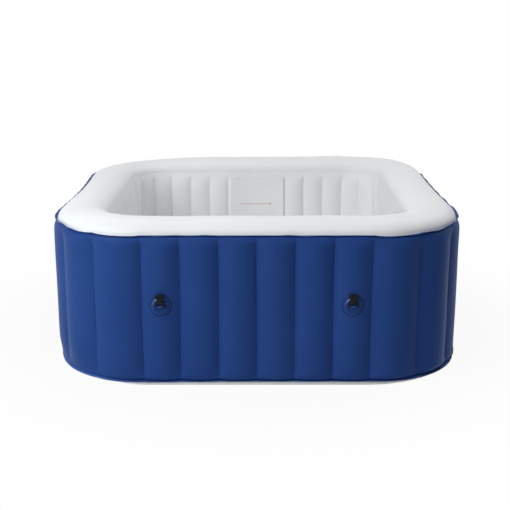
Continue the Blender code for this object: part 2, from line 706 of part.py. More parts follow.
def strap_anchor(word, hand):
    """Round welded patch, and the moulded boss and loop that carries the buckle's bar."""
    middle = hand * 2.5 * RIB_PITCH
    shifts = [-PATCH_RADIUS * cos(pi * column / PATCH_COLUMNS) for column in range(PATCH_COLUMNS + 1)]
    rows = []
    for top in (1, -1):
        row = []
        for shift in shifts:
            reach = sqrt(max(PATCH_RADIUS ** 2 - shift ** 2, (0.2 * PATCH_RADIUS) ** 2))
            depth = wall_face(shift, CLEARANCE + PATCH)
            row.append(Vector((middle + shift, depth, ANCHOR_HEIGHT + top * reach)))
        rows.append(row)
    sheet(f"{word}_patch", rows, BLUE_PVC, PATCH)

    front = wall_face(0.0, CLEARANCE + PATCH) - BOSS_PROUD
    bar = front - BUCKLE_GAP - BUCKLE_THICK / 2
    place = along((middle, front, ANCHOR_HEIGHT), (0, -1, 0))
    back = -BOSS_PROUD - OUTER_SAG
    boss = turned(f"{word}_strap_anchor",
                  [(0.0, back), (BOSS_RADIUS, back), (BOSS_RADIUS, -BOSS_ROUND),
                   (BOSS_RADIUS - BOSS_ROUND, 0.0), (0.0, 0.0)], BLUE_PVC, place, ring=False)
    lift = 2 * CLEARANCE + PATCH
    wide = 1.2 * BOSS_RADIUS
    outline = [(-wide, wall_face(wide, lift)), (0.0, wall_face(0.0, lift)), (wide, wall_face(wide, lift)),
               (wide, front + 2 * OUTER_SAG), (-wide, front + 2 * OUTER_SAG)]
    outline = [(middle + x, y) for x, y in outline]
    wedge = prism(f"{word}_wedge", outline, ANCHOR_HEIGHT - wide, ANCHOR_HEIGHT + wide, BLUE_PVC)
    combine(boss, hide_cutter(wedge), "DIFFERENCE")
    across = along((middle, bar, ANCHOR_HEIGHT), (1, 0, 0))
    ring_outer = LOOP_BORE + LOOP_WALL
    half = LOOP_WIDTH / 2
    section = [(LOOP_BORE, -half), (ring_outer, -half), (ring_outer, half), (LOOP_BORE, half)]
    loop = turned(f"{word}_loop", section, BLUE_PVC, across)
    combine(boss, hide_cutter(loop), "UNION")
    depth = front - bar
    stem_size = (LOOP_WIDTH, depth - LOOP_BORE - LOOP_WALL / 2 + BOSS_PROUD / 2, LOOP_STEM)
    stem_middle = bar + LOOP_BORE + LOOP_WALL / 2 + stem_size[1] / 2
    stem = box_cutter(f"{word}_stem", stem_size, (middle, stem_middle, ANCHOR_HEIGHT))
    combine(boss, stem, "UNION")
    return Vector((middle, bar, ANCHOR_HEIGHT))


def buckle(word, centre):
    """Receiving half of a side-release buckle, upright, with its bar in the strap loop."""
    half = [(BUCKLE_BASE / 2, -BUCKLE_FOOT), (BUCKLE_BASE / 2, BUCKLE_HIP),
            (BUCKLE_WAIST / 2, BUCKLE_NECK_LOW), (BUCKLE_WAIST / 2, BUCKLE_NECK_HIGH),
            (BUCKLE_HEAD / 2, BUCKLE_SHOULDER), (BUCKLE_HEAD / 2, BUCKLE_TOP)]
    outline = half + [(-x, z) for x, z in half[::-1]]
    upright = Matrix.Translation(centre) @ Matrix.Rotation(pi / 2, 4, "X")
    piece = prism(f"{word}_buckle", outline, -BUCKLE_THICK / 2, BUCKLE_THICK / 2, BLACK_PLASTIC, upright)
    edge = piece.modifiers.new("edge", "BEVEL")
    edge.width = BUCKLE_BEVEL
    edge.segments = 1
    edge.limit_method = "ANGLE"
    edge.angle_limit = radians(60)
    place = Matrix.Translation(centre)
    slot_low = BAR_HEIGHT / 2
    cuts = [((SLOT_WIDTH, 2 * BUCKLE_THICK, SLOT_TOP - slot_low), (0.0, 0.0, (SLOT_TOP + slot_low) / 2))]
    for face in (1, -1):
        depth = BUCKLE_THICK
        cuts.append(((SLOT_WIDTH, depth, 2 * SLOT_TOP), (0.0, face * (BAR_THICK + depth) / 2, 0.0)))
    foot = BUCKLE_FOOT
    cuts.append(((SLOT_WIDTH, 2 * BUCKLE_THICK, foot), (0.0, 0.0, -slot_low - foot / 2)))
    mouth_reach = MOUTH_DEPTH + BUCKLE_FOOT
    mouth_middle = BUCKLE_TOP - MOUTH_DEPTH + mouth_reach / 2
    cuts.append(((MOUTH_WIDTH, MOUTH_THICK, mouth_reach), (0.0, 0.0, mouth_middle)))
    window = WINDOW_HIGH - WINDOW_LOW
    cuts.append(((2 * BUCKLE_HEAD, MOUTH_THICK, window), (0.0, 0.0, (WINDOW_HIGH + WINDOW_LOW) / 2)))
    for index, (size, middle) in enumerate(cuts):
        combine(piece, box_cutter(f"{word}_buckle_cut_{index}", size, middle, place), "DIFFERENCE")
    return piece


def main():
    """Build the whole tub."""
    clear_scene()
    tub = bpy.data.objects.new("hot_tub", None)
    bpy.context.scene.collection.objects.link(tub)
    outer = outer_walls()
    inner = inner_walls()
    top_rim()
    bottom_sheet()
    air_jet_ring()
    feed_tube()
    tie_webs()
    right = SIDES.index("right")
    outside = flat_panel("connection_panel", CONNECTION_PANEL_LOW, CONNECTION_PANEL_HIGH,
                         BACK_FACE, BLUE_PVC)
    inside = flat_panel("fitting_panel", FITTING_PANEL_LOW, FITTING_PANEL_HIGH,
                        POOL_FACE + PANEL, WHITE_PVC)
    for word, shift in (("suction", -PORT_SPREAD), ("return", PORT_SPREAD)):
        water_port(word, shift, (outer[BACK], inner[BACK], outside, inside))
    air_inlet((outer[BACK], outside))
    inflation_valve((outer[BACK], outside))
    feed_place = along((0.0, CORE + INNER_RADIUS, FEED_HEIGHT), (0, 1, 0))
    cut_round((inner[BACK],), "feed", FEED_RADIUS, feed_place, -CUT_REACH - INNER_SAG, CUT_REACH)
    drain_valve((outer[right], inner[right]))
    for word, hand in (("left", -1), ("right", 1)):
        buckle(word, strap_anchor(word, hand))


main()
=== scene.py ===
"""Dressed model of a square inflatable hot tub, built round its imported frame."""

import json
import logging
from dataclasses import dataclass, field
from enum import Enum
from math import cos, pi, radians, sin, sqrt
from typing import Any, Callable, Iterable, Sequence

import bpy
import numpy as np
from mathutils import Matrix, Vector


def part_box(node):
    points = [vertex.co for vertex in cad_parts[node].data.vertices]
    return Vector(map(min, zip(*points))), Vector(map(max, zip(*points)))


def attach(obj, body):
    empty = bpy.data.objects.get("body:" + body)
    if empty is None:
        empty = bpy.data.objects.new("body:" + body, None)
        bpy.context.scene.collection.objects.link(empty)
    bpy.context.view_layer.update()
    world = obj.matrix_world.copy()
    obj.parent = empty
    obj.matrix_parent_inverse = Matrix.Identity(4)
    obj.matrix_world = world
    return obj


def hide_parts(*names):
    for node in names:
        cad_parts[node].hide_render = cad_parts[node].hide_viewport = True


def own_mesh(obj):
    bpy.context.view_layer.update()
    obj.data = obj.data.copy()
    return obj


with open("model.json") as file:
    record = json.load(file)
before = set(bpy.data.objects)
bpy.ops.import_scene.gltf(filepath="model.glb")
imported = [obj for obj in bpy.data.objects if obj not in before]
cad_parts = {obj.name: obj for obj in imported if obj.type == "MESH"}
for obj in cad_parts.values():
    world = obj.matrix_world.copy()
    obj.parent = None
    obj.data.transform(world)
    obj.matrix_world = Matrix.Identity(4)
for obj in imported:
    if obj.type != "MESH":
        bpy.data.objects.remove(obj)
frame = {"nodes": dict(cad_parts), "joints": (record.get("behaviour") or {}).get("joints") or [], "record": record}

LOG = logging.getLogger("hot_tub")
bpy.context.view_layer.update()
TUB = "tub"
WELD = "weld"
POLISH_AND_SHEEN = "polish"

Array = np.ndarray
Colour = tuple[float, float, float]
Object = bpy.types.Object
Material = bpy.types.Material
Profile = Sequence[tuple[float, float]]
Hole = tuple[float, float, float]


class Side(Enum):
    """Sides of the tub, as quarter turns from the front."""

    FRONT = 0
    RIGHT = 1
    BACK = 2
    LEFT = 3

    @property
    def word(self) -> str:
        """Name of the side as the frame's nodes use it."""
        return self.name.lower()


class Slot(Enum):
    """Material slots of the record."""

    BLUE = "blue_pvc"
    WHITE = "white_pvc"
    GREY = "grey_pvc"
    WEB = "web_pvc"
    BLACK_PLASTIC = "black_plastic"
    GREY_PLASTIC = "grey_plastic"
    WHITE_PLASTIC = "white_plastic"
    RUBBER = "black_rubber"
    STEEL = "spring_steel"


class Wire:
    """A shader socket that can stand in Python expressions."""

    def __init__(self, bench: "ShaderBench", socket: bpy.types.NodeSocket) -> None:
        """Keep the socket and the bench that adds nodes for it."""
        self.bench = bench
        self.socket = socket

    def math(self, operation: str, *others: Any, swap: bool = False) -> "Wire":
        """Add a Math node on this value.

        Args:
            operation: name of the Math operation.
            others: further values or wires.
            swap: whether this wire comes second.

        Returns:
            The node's result.
        """
        values = [self, *others]
        if swap:
            values.reverse()
        return self.bench.node("ShaderNodeMath", {"operation": operation}, dict(enumerate(values)))

    def __add__(self, other: Any) -> "Wire":
        """Sum."""
        return self.math("ADD", other)

    __radd__ = __add__

    def __sub__(self, other: Any) -> "Wire":
        """Difference."""
        return self.math("SUBTRACT", other)

    def __rsub__(self, other: Any) -> "Wire":
        """Difference from a number."""
        return self.math("SUBTRACT", other, swap=True)

    def __mul__(self, other: Any) -> "Wire":
        """Product."""
        return self.math("MULTIPLY", other)

    def step(self, low: float, high: float) -> "Wire":
        """Smooth step from 0 at low to 1 at high."""
        return self.bench.node(
            "ShaderNodeMapRange", {"interpolation_type": "SMOOTHSTEP"}, {0: self, 1: low, 2: high, 3: 0.0, 4: 1.0}
        )


class ShaderBench:
    """Node tree of one material or world, with one method that adds any node."""

    def __init__(self, owner: Any) -> None:
        """Clear the owner's node tree.

        Args:
            owner: a material or a world.
        """
        owner.use_nodes = True
        self.owner = owner
        self.tree = owner.node_tree
        self.tree.nodes.clear()

    def node(
        self, kind: str, settings: dict[str, Any] | None = None, sockets: dict[Any, Any] | None = None, output: Any = 0
    ) -> Wire:
        """Add one node, set it and link it.

        Args:
            kind: type of the node.
            settings: its properties.
            sockets: values or wires by input name or number.
            output: name or number of the output to return.

        Returns:
            The chosen output.
        """
        made = self.tree.nodes.new(kind)
        for key, value in (settings or {}).items():
            setattr(made, key, value)
        for key, value in (sockets or {}).items():
            if isinstance(value, Wire):
                self.tree.links.new(value.socket, made.inputs[key])
            else:
                made.inputs[key].default_value = value
        return Wire(self, made.outputs[output]) if made.outputs else Wire(self, made.inputs[0])

    def place(self) -> Wire:
        """Object coordinates of the piece."""
        return self.node("ShaderNodeTexCoord", output="Object")

    def noise(self, place: Wire, scale: float, detail: float = 2.0, roughness: float = 0.5) -> Wire:
        """Cloudy value about 0.5.

        Args:
            place: coordinates.
            scale: clouds per metre.
            detail: octaves.
            roughness: share of the finer octaves.

        Returns:
            The noise value.
        """
        return self.node(
            "ShaderNodeTexNoise", {}, {"Vector": place, "Scale": scale, "Detail": detail, "Roughness": roughness}
        )

    def attribute(self, name: str) -> Wire:
        """Value of a mesh attribute."""
        return self.node("ShaderNodeAttribute", {"attribute_name": name}, output="Fac")

    def blend(self, share: Any, first: Any, second: Any) -> Wire:
        """Mix two colours.

        Args:
            share: share of the second colour.
            first: colour or wire.
            second: colour or wire.

        Returns:
            The mixed colour.
        """
        colours = [(*value, 1.0) if isinstance(value, tuple) else value for value in (first, second)]
        return self.node(
            "ShaderNodeMix", {"data_type": "RGBA"}, {0: share, 6: colours[0], 7: colours[1]}, output=2
        )

    def bump(self, height: Wire, distance: float, under: Wire | None = None) -> Wire:
        """Normal from a height that is 0 to 1 times a distance in metres."""
        sockets = {"Height": height, "Distance": distance, "Strength": 1.0}
        if under is not None:
            sockets["Normal"] = under
        return self.node("ShaderNodeBump", {}, sockets)

    def surface(self, **sockets: Any) -> Material:
        """End the tree with a Principled shader.

        Args:
            sockets: inputs by name, with _ for a space.

        Returns:
            The finished material.
        """
        named = {key.replace("_", " "): value for key, value in sockets.items()}
        shader = self.node("ShaderNodeBsdfPrincipled", {}, named)
        self.node("ShaderNodeOutputMaterial", {}, {"Surface": shader})
        return self.owner


@dataclass(frozen=True)
class Finish:
    """A procedural finish, by the name of its material."""

    name: str

    def bench(self) -> ShaderBench:
        """Node tree of a new material."""
        return ShaderBench(bpy.data.materials.new(self.name))


@dataclass(frozen=True)
class VinylFinish(Finish):
    """Welded PVC sheet with a soft sheen, faint grain and cloudy colour."""

    colour: Colour
    cloud_colour: Colour
    weld_colour: Colour
    roughness: float
    gloss: float
    grain: float = 0.00006
    ripple: float = 0.0006
    polish: float = 0.0

    def make(self) -> Material:
        """Build the material."""
        bench = self.bench()
        place = bench.place()
        cloud = bench.noise(place, 5.0, 3.0)
        ripple = bench.noise(place, 22.0, 1.0)
        grain = bench.noise(place, 900.0, 2.0)
        weld = bench.attribute(WELD)
        ribbing = bench.node(
            "ShaderNodeTexVoronoi", {"feature": "F1"}, {"Vector": place, "Scale": 420.0, "Randomness": 0.15}
        )
        colour = bench.blend(cloud.step(0.35, 0.7), self.colour, self.cloud_colour)
        # Welded bands take the band colour: a weld tone on the white sheets, painted highlight on the blue flanges,
        # painted shade in the patch's groove, the strap's colour on the loop.
        colour = bench.blend(weld, colour, self.weld_colour)
        rough = self.roughness + (cloud - 0.5) * 0.14 + (grain - 0.5) * 0.06 - weld * 0.06
        normal = bench.bump(ripple, self.ripple)
        normal = bench.bump(grain + weld * ribbing * 2.0, self.grain, normal)
        # The coat's mask can place gloss only where a lamp reflects, which paints a highlight.
        coat = {"Coat_Weight": bench.attribute(POLISH_AND_SHEEN) * self.polish, "Coat_Roughness": 0.13} if self.polish else {}
        return bench.surface(
            Base_Color=colour, Roughness=rough, Normal=normal, Specular_IOR_Level=self.gloss, **coat
        )


@dataclass(frozen=True)
class FloorFinish(Finish):
    """Pale bottom sheet with a pressed pattern of small pips."""

    colour: Colour
    cloud_colour: Colour
    pip_pitch: float = 0.012

    def make(self) -> Material:
        """Build the material."""
        bench = self.bench()
        place = bench.place()
        cloud = bench.noise(place, 6.0, 4.0)
        grain = bench.noise(place, 700.0, 2.0)
        pips = bench.node(
            "ShaderNodeTexVoronoi", {"voronoi_dimensions": "2D"},
            {"Vector": place, "Scale": 1.0 / self.pip_pitch, "Randomness": 0.0},
        )
        height = 1.0 - pips.step(0.16, 0.34)
        colour = bench.blend(cloud.step(0.3, 0.75), self.colour, self.cloud_colour)
        normal = bench.bump(grain, 0.00008, bench.bump(height, 0.0004))
        return bench.surface(
            Base_Color=colour, Roughness=0.52 + (grain - 0.5) * 0.1, Normal=normal, Specular_IOR_Level=0.3
        )


@dataclass(frozen=True)
class WebFinish(Finish):
    """Mesh-backed sheet of the tie webs, with its scrim showing through."""

    colour: Colour
    thread_colour: Colour
    pitch: float = 0.004

    def make(self) -> Material:
        """Build the material."""
        bench = self.bench()
        place = bench.place()
        scrim = bench.node(
            "ShaderNodeTexBrick", {"offset": 0.0},
            {"Vector": place, "Scale": 1.0 / self.pitch, "Mortar Size": 0.08, "Brick Width": 1.0, "Row Height": 1.0},
            output="Fac",
        )
        grain = bench.noise(place, 500.0, 2.0)
        colour = bench.blend(scrim, self.colour, self.thread_colour)
        normal = bench.bump(scrim + grain * 0.3, 0.0001)
        return bench.surface(Base_Color=colour, Roughness=0.55 + grain * 0.1, Normal=normal)


@dataclass(frozen=True)
class MouldedFinish(Finish):
    """Moulded plastic or rubber with a spark-eroded grain and rubbed high spots."""

    colour: Colour
    rubbed_colour: Colour
    roughness: float
    grain: float = 0.00005
    gloss: float = 0.4

    def make(self) -> Material:
        """Build the material."""
        bench = self.bench()
        place = bench.place()
        grain = bench.noise(place, 1600.0, 3.0)
        cloud = bench.noise(place, 90.0, 3.0)
        scuff = bench.noise(place, 350.0, 4.0, 0.7)
        colour = bench.blend(scuff.step(0.58, 0.78) * 0.5, self.colour, self.rubbed_colour)
        rough = self.roughness + (cloud - 0.5) * 0.16 + (grain - 0.5) * 0.12
        return bench.surface(
            Base_Color=colour, Roughness=rough, Normal=bench.bump(grain, self.grain), Specular_IOR_Level=self.gloss
        )


@dataclass(frozen=True)
class DrawnSteelFinish(Finish):
    """Drawn spring wire with fine lengthwise marks."""

    colour: Colour

    def make(self) -> Material:
        """Build the material."""
        bench = self.bench()
        marks = bench.noise(bench.place(), 2600.0, 3.0)
        return bench.surface(
            Base_Color=bench.blend(marks, self.colour, (0.42, 0.42, 0.43)),
            Roughness=0.22 + marks * 0.2, Normal=bench.bump(marks, 0.00002), Metallic=1.0,
        )


@dataclass(frozen=True)
class PrintFinish(Finish):
    """Thin printed line, slightly worn through."""

    colour: Colour
    worn_colour: Colour

    def make(self) -> Material:
        """Build the material."""
        bench = self.bench()
        wear = bench.noise(bench.place(), 260.0, 4.0, 0.65)
        return bench.surface(
            Base_Color=bench.blend(wear.step(0.45, 0.75), self.colour, self.worn_colour),
            Roughness=0.45 + wear * 0.15, Normal=bench.bump(wear, 0.00003),
        )


class Finishes:
    """All finishes of the tub, made once."""

    def __init__(self) -> None:
        """Build every material."""
        # Its band colour is lighter than the sheet: painted highlight on the welded flanges and the bottom lip.
        self.blue = VinylFinish(
            "blue_vinyl", (0.0176, 0.0565, 0.224), (0.0198, 0.0610, 0.236), (0.044, 0.104, 0.325), 0.46, 0.06
        ).make()
        # Darker than the wall's blue: partly the moulding's own tone, partly painted shade of the buckle and the dish.
        self.gloss_blue = VinylFinish(
            "blue_moulding", (0.0124, 0.0468, 0.192), (0.0137, 0.0500, 0.201), (0.034, 0.094, 0.31), 0.25, 0.07,
            polish=1.0,
        ).make()
        # Its band colour is dark: painted shade in the groove of the welded edge.
        self.patch_blue = VinylFinish(
            "patch_vinyl", (0.0163, 0.0552, 0.224), (0.0182, 0.0592, 0.237), (0.0065, 0.0221, 0.088), 0.42, 0.08
        ).make()
        self.white = VinylFinish(
            "white_vinyl", (0.860, 0.871, 0.889), (0.847, 0.858, 0.876), (0.82, 0.82, 0.815), 0.46, 0.30
        ).make()
        self.bead = VinylFinish(
            "weld_bead", (0.86, 0.855, 0.83), (0.84, 0.835, 0.81), (0.80, 0.80, 0.79), 0.42, 0.30
        ).make()
        self.panel_white = VinylFinish(
            "panel_vinyl", (0.900, 0.908, 0.920), (0.89, 0.897, 0.908), (0.84, 0.84, 0.84), 0.40, 0.30
        ).make()
        self.floor = FloorFinish("floor_sheet", (0.86, 0.863, 0.863), (0.82, 0.824, 0.828)).make()
        self.web = WebFinish("web_sheet", (0.70, 0.72, 0.74), (0.60, 0.62, 0.65)).make()
        self.black = MouldedFinish(
            "black_moulding", (0.007, 0.007, 0.008), (0.026, 0.026, 0.027), 0.38, gloss=0.12
        ).make()
        self.grey = MouldedFinish("grey_moulding", (0.26, 0.28, 0.31), (0.34, 0.36, 0.385), 0.46).make()
        self.ivory = MouldedFinish("white_moulding", (0.78, 0.79, 0.80), (0.70, 0.71, 0.72), 0.36).make()
        self.rubber = MouldedFinish("black_rubber", (0.014, 0.014, 0.014), (0.03, 0.03, 0.03), 0.74).make()
        self.steel = DrawnSteelFinish("spring_wire", (0.58, 0.58, 0.60)).make()
        self.red = PrintFinish("red_print", (0.70, 0.18, 0.15), (0.79, 0.45, 0.41)).make()


def free_hands() -> None:
    """Leave edit mode and let go of everything."""
    if bpy.context.mode != "OBJECT":
        bpy.ops.object.mode_set(mode="OBJECT")
    bpy.ops.object.select_all(action="DESELECT")


def pick(piece: Object) -> None:
    """Select one piece alone and make it active."""
    free_hands()
    piece.select_set(True)
    bpy.context.view_layer.objects.active = piece


def edit(piece: Object, mode: str = "VERT") -> None:
    """Open a piece in edit mode with everything in it selected."""
    pick(piece)
    bpy.ops.object.mode_set(mode="EDIT")
    bpy.ops.mesh.select_mode(type=mode)
    bpy.ops.mesh.select_all(action="SELECT")


def christen(name: str) -> Object:
    """Name the piece that was just added."""
    piece = bpy.context.active_object
    piece.name = name
    piece.data.name = name
    return piece


def read_points(piece: Object) -> Array:
    """Vertices of a piece as an array."""
    points = np.empty(3 * len(piece.data.vertices))
    piece.data.vertices.foreach_get("co", points)
    return points.reshape(-1, 3)


def put_points(piece: Object, points: Array) -> None:
    """Move the vertices of a piece."""
    piece.data.vertices.foreach_set("co", np.ascontiguousarray(points, dtype=np.float32).ravel())
    piece.data.update()


def set_attribute(piece: Object, name: str, values: Array) -> None:
    """Store a value on each vertex of a piece."""
    layer = piece.data.attributes.new(name, "FLOAT", "POINT")
    layer.data.foreach_set("value", np.ascontiguousarray(values, dtype=np.float32))


def modify(piece: Object, kind: str, **settings: Any) -> Object:
    """Add a modifier and apply it.

    Args:
        piece: the piece.
        kind: type of the modifier.
        settings: its properties.

    Returns:
        The piece.
    """
    pick(piece)
    modifier = piece.modifiers.new(kind.lower(), kind)
    for key, value in settings.items():
        setattr(modifier, key, value)
    bpy.ops.object.modifier_apply(modifier=modifier.name)
    return piece


def round_edges(piece: Object, width: float, segments: int = 2, angle: float = 35.0) -> Object:
    """Round the sharp edges of a piece."""
    return modify(
        piece, "BEVEL", width=width, segments=segments, limit_method="ANGLE", angle_limit=radians(angle),
        harden_normals=False,
    )


def shade(piece: Object, angle: float = 35.0) -> None:
    """Shade a piece smooth, but for its sharp edges."""
    pick(piece)
    bpy.ops.object.shade_smooth_by_angle(angle=radians(angle))


def settle(piece: Object, place: Matrix | None = None) -> Object:
    """Put a piece in its place, if one is given, and apply its place to its mesh."""
    if place is not None:
        piece.matrix_world = place
    pick(piece)
    bpy.ops.object.transform_apply(location=True, rotation=True, scale=True)
    return piece


def face_outwards(piece: Object, merge: float = 1e-6) -> None:
    """Merge doubled points and turn all faces outwards."""
    edit(piece)
    bpy.ops.mesh.remove_doubles(threshold=merge)
    bpy.ops.mesh.normals_make_consistent(inside=False)
    bpy.ops.object.mode_set(mode="OBJECT")


def select_faces(piece: Object, test: Callable[[Vector, Vector], bool]) -> None:
    """Open a piece with some of its faces selected.

    Args:
        piece: the piece.
        test: takes a face's centre and normal, and says whether it is wanted.
    """
    edit(piece, "FACE")
    bpy.ops.mesh.select_all(action="DESELECT")
    bpy.ops.object.mode_set(mode="OBJECT")
    for face in piece.data.polygons:
        face.select = test(face.center, face.normal)
    bpy.ops.object.mode_set(mode="EDIT")


def thicken(piece: Object, thickness: float, reverse: bool) -> None:
    """Give a skin its thickness behind its faces.

    Args:
        piece: the skin.
        thickness: thickness of the sheet.
        reverse: whether its faces look the wrong way and are turned first.
    """
    if reverse:
        edit(piece)
        bpy.ops.mesh.flip_normals()
    modify(piece, "SOLIDIFY", thickness=thickness, offset=-1.0)


def grid_piece(name: str, columns: int, rows: int) -> tuple[Object, Array, Array]:
    """Add a flat grid to be shaped.

    Args:
        name: name of the piece.
        columns: cells across.
        rows: cells up.

    Returns:
        The piece, and the column and row number of each vertex.
    """
    free_hands()
    bpy.ops.mesh.primitive_grid_add(x_subdivisions=columns, y_subdivisions=rows, size=2.0)
    piece = christen(name)
    flat = read_points(piece)
    column = np.rint((flat[:, 0] + 1) / 2 * columns).astype(int)
    row = np.rint((flat[:, 1] + 1) / 2 * rows).astype(int)
    return piece, column, row


def along(origin: Iterable[float], direction: Iterable[float]) -> Matrix:
    """Matrix that puts local Z along a direction at a point."""
    turn = Vector((0.0, 0.0, 1.0)).rotation_difference(Vector(direction))
    return Matrix.Translation(Vector(origin)) @ turn.to_matrix().to_4x4()


def turned(name: str, profile: Profile, place: Matrix, steps: int = 48, edge: float = 0.0005) -> Object:
    """Extrude a profile point by point, spin it round its axis and round its edges.

    Args:
        name: name of the piece.
        profile: (radius, height) pairs, from axis to axis or round to its start.
        place: where the axis stands.
        steps: facets round.
        edge: rounding of its edges.

    Returns:
        The piece, settled in place.
    """
    free_hands()
    bpy.ops.mesh.primitive_plane_add(size=0.001)
    piece = christen(name)
    edit(piece)
    bpy.ops.mesh.merge(type="CENTER")
    bpy.ops.transform.translate(value=(profile[0][0], 0.0, profile[0][1]))
    for (radius, height), (next_radius, next_height) in zip(profile, profile[1:]):
        step = (next_radius - radius, 0.0, next_height - height)
        bpy.ops.mesh.extrude_vertices_move(TRANSFORM_OT_translate={"value": step})
    bpy.ops.mesh.select_all(action="SELECT")
    bpy.ops.mesh.spin(steps=steps, angle=2 * pi, center=(0.0, 0.0, 0.0), axis=(0.0, 0.0, 1.0))
    face_outwards(piece, 1e-5)
    if edge:
        round_edges(piece, edge)
    return settle(piece, place)


def block(name: str, size: Sequence[float], centre: Sequence[float], place: Matrix | None = None) -> Object:
    """Add a box of a size, for cutting or joining.

    Args:
        name: name of the piece.
        size: its three sizes.
        centre: its middle in the place's own directions.
        place: where it stands.

    Returns:
        The box.
    """
    free_hands()
    bpy.ops.mesh.primitive_cube_add(size=1.0)
    piece = christen(name)
    middle = (place or Matrix()) @ Matrix.Translation(Vector(centre))
    return settle(piece, middle @ Matrix.Diagonal((*size, 1.0)))


def combine(piece: Object, others: Sequence[Object], operation: str = "DIFFERENCE") -> Object:
    """Cut other pieces out of this one, or join them on, and remove them.

    Args:
        piece: the piece that stays.
        others: the pieces that are used up.
        operation: DIFFERENCE or UNION.

    Returns:
        The piece.
    """
    for other in others:
        modify(piece, "BOOLEAN", operation=operation, solver="EXACT", object=other)
        bpy.data.objects.remove(other, do_unlink=True)
    return piece


def join(pieces: Sequence[Object], name: str) -> Object:
    """Join pieces into one mesh."""
    free_hands()
    for piece in pieces:
        piece.select_set(True)
    bpy.context.view_layer.objects.active = pieces[0]
    bpy.ops.object.join()
    return christen(name)


def copy_piece(piece: Object, name: str, move: Matrix) -> Object:
    """Duplicate a piece with its own mesh and move the copy."""
    pick(piece)
    bpy.ops.object.duplicate(linked=False)
    return settle(christen(name), move)


def dress(
    piece: Object, material: Material, body: str = TUB, nodes: Sequence[str] = (), angle: float = 35.0
) -> Object:
    """Give a piece its finish, the body it rides on and the nodes it stands for.

    Args:
        piece: the finished piece.
        material: its finish.
        body: body it rides on.
        nodes: frame nodes that it replaces.
        angle: edges sharper than this stay sharp, in degrees.

    Returns:
        The piece.
    """
    piece.data.materials.clear()
    piece.data.materials.append(material)
    shade(piece, angle)
    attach(piece, body)
    if nodes:
        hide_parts(*nodes)
    LOG.info("%s: %d faces on %s", piece.name, len(piece.data.polygons), body)
    return piece


def bump_step(value: Array, low: float, high: float) -> Array:
    """Smooth step of an array from 0 at low to 1 at high."""
    share = np.clip((value - low) / (high - low), 0.0, 1.0)
    return share * share * (3.0 - 2.0 * share)


def waves(first: Array, second: Array, seed: int, lengths: Sequence[float]) -> Array:
    """Gentle seeded unevenness of a surface, about -1 to 1.

    Args:
        first: distance along the surface.
        second: distance across it.
        seed: seed of the phases and directions.
        lengths: wave lengths in metres.

    Returns:
        The unevenness at each point.
    """
    draw = np.random.default_rng(seed)
    total = np.zeros_like(first, dtype=float)
    for length in lengths:
        angle, phase = draw.uniform(0.0, 2 * pi, 2)
        total = total + np.sin(2 * pi / length * (first * cos(angle) + second * sin(angle)) + phase)
    return total / len(lengths)


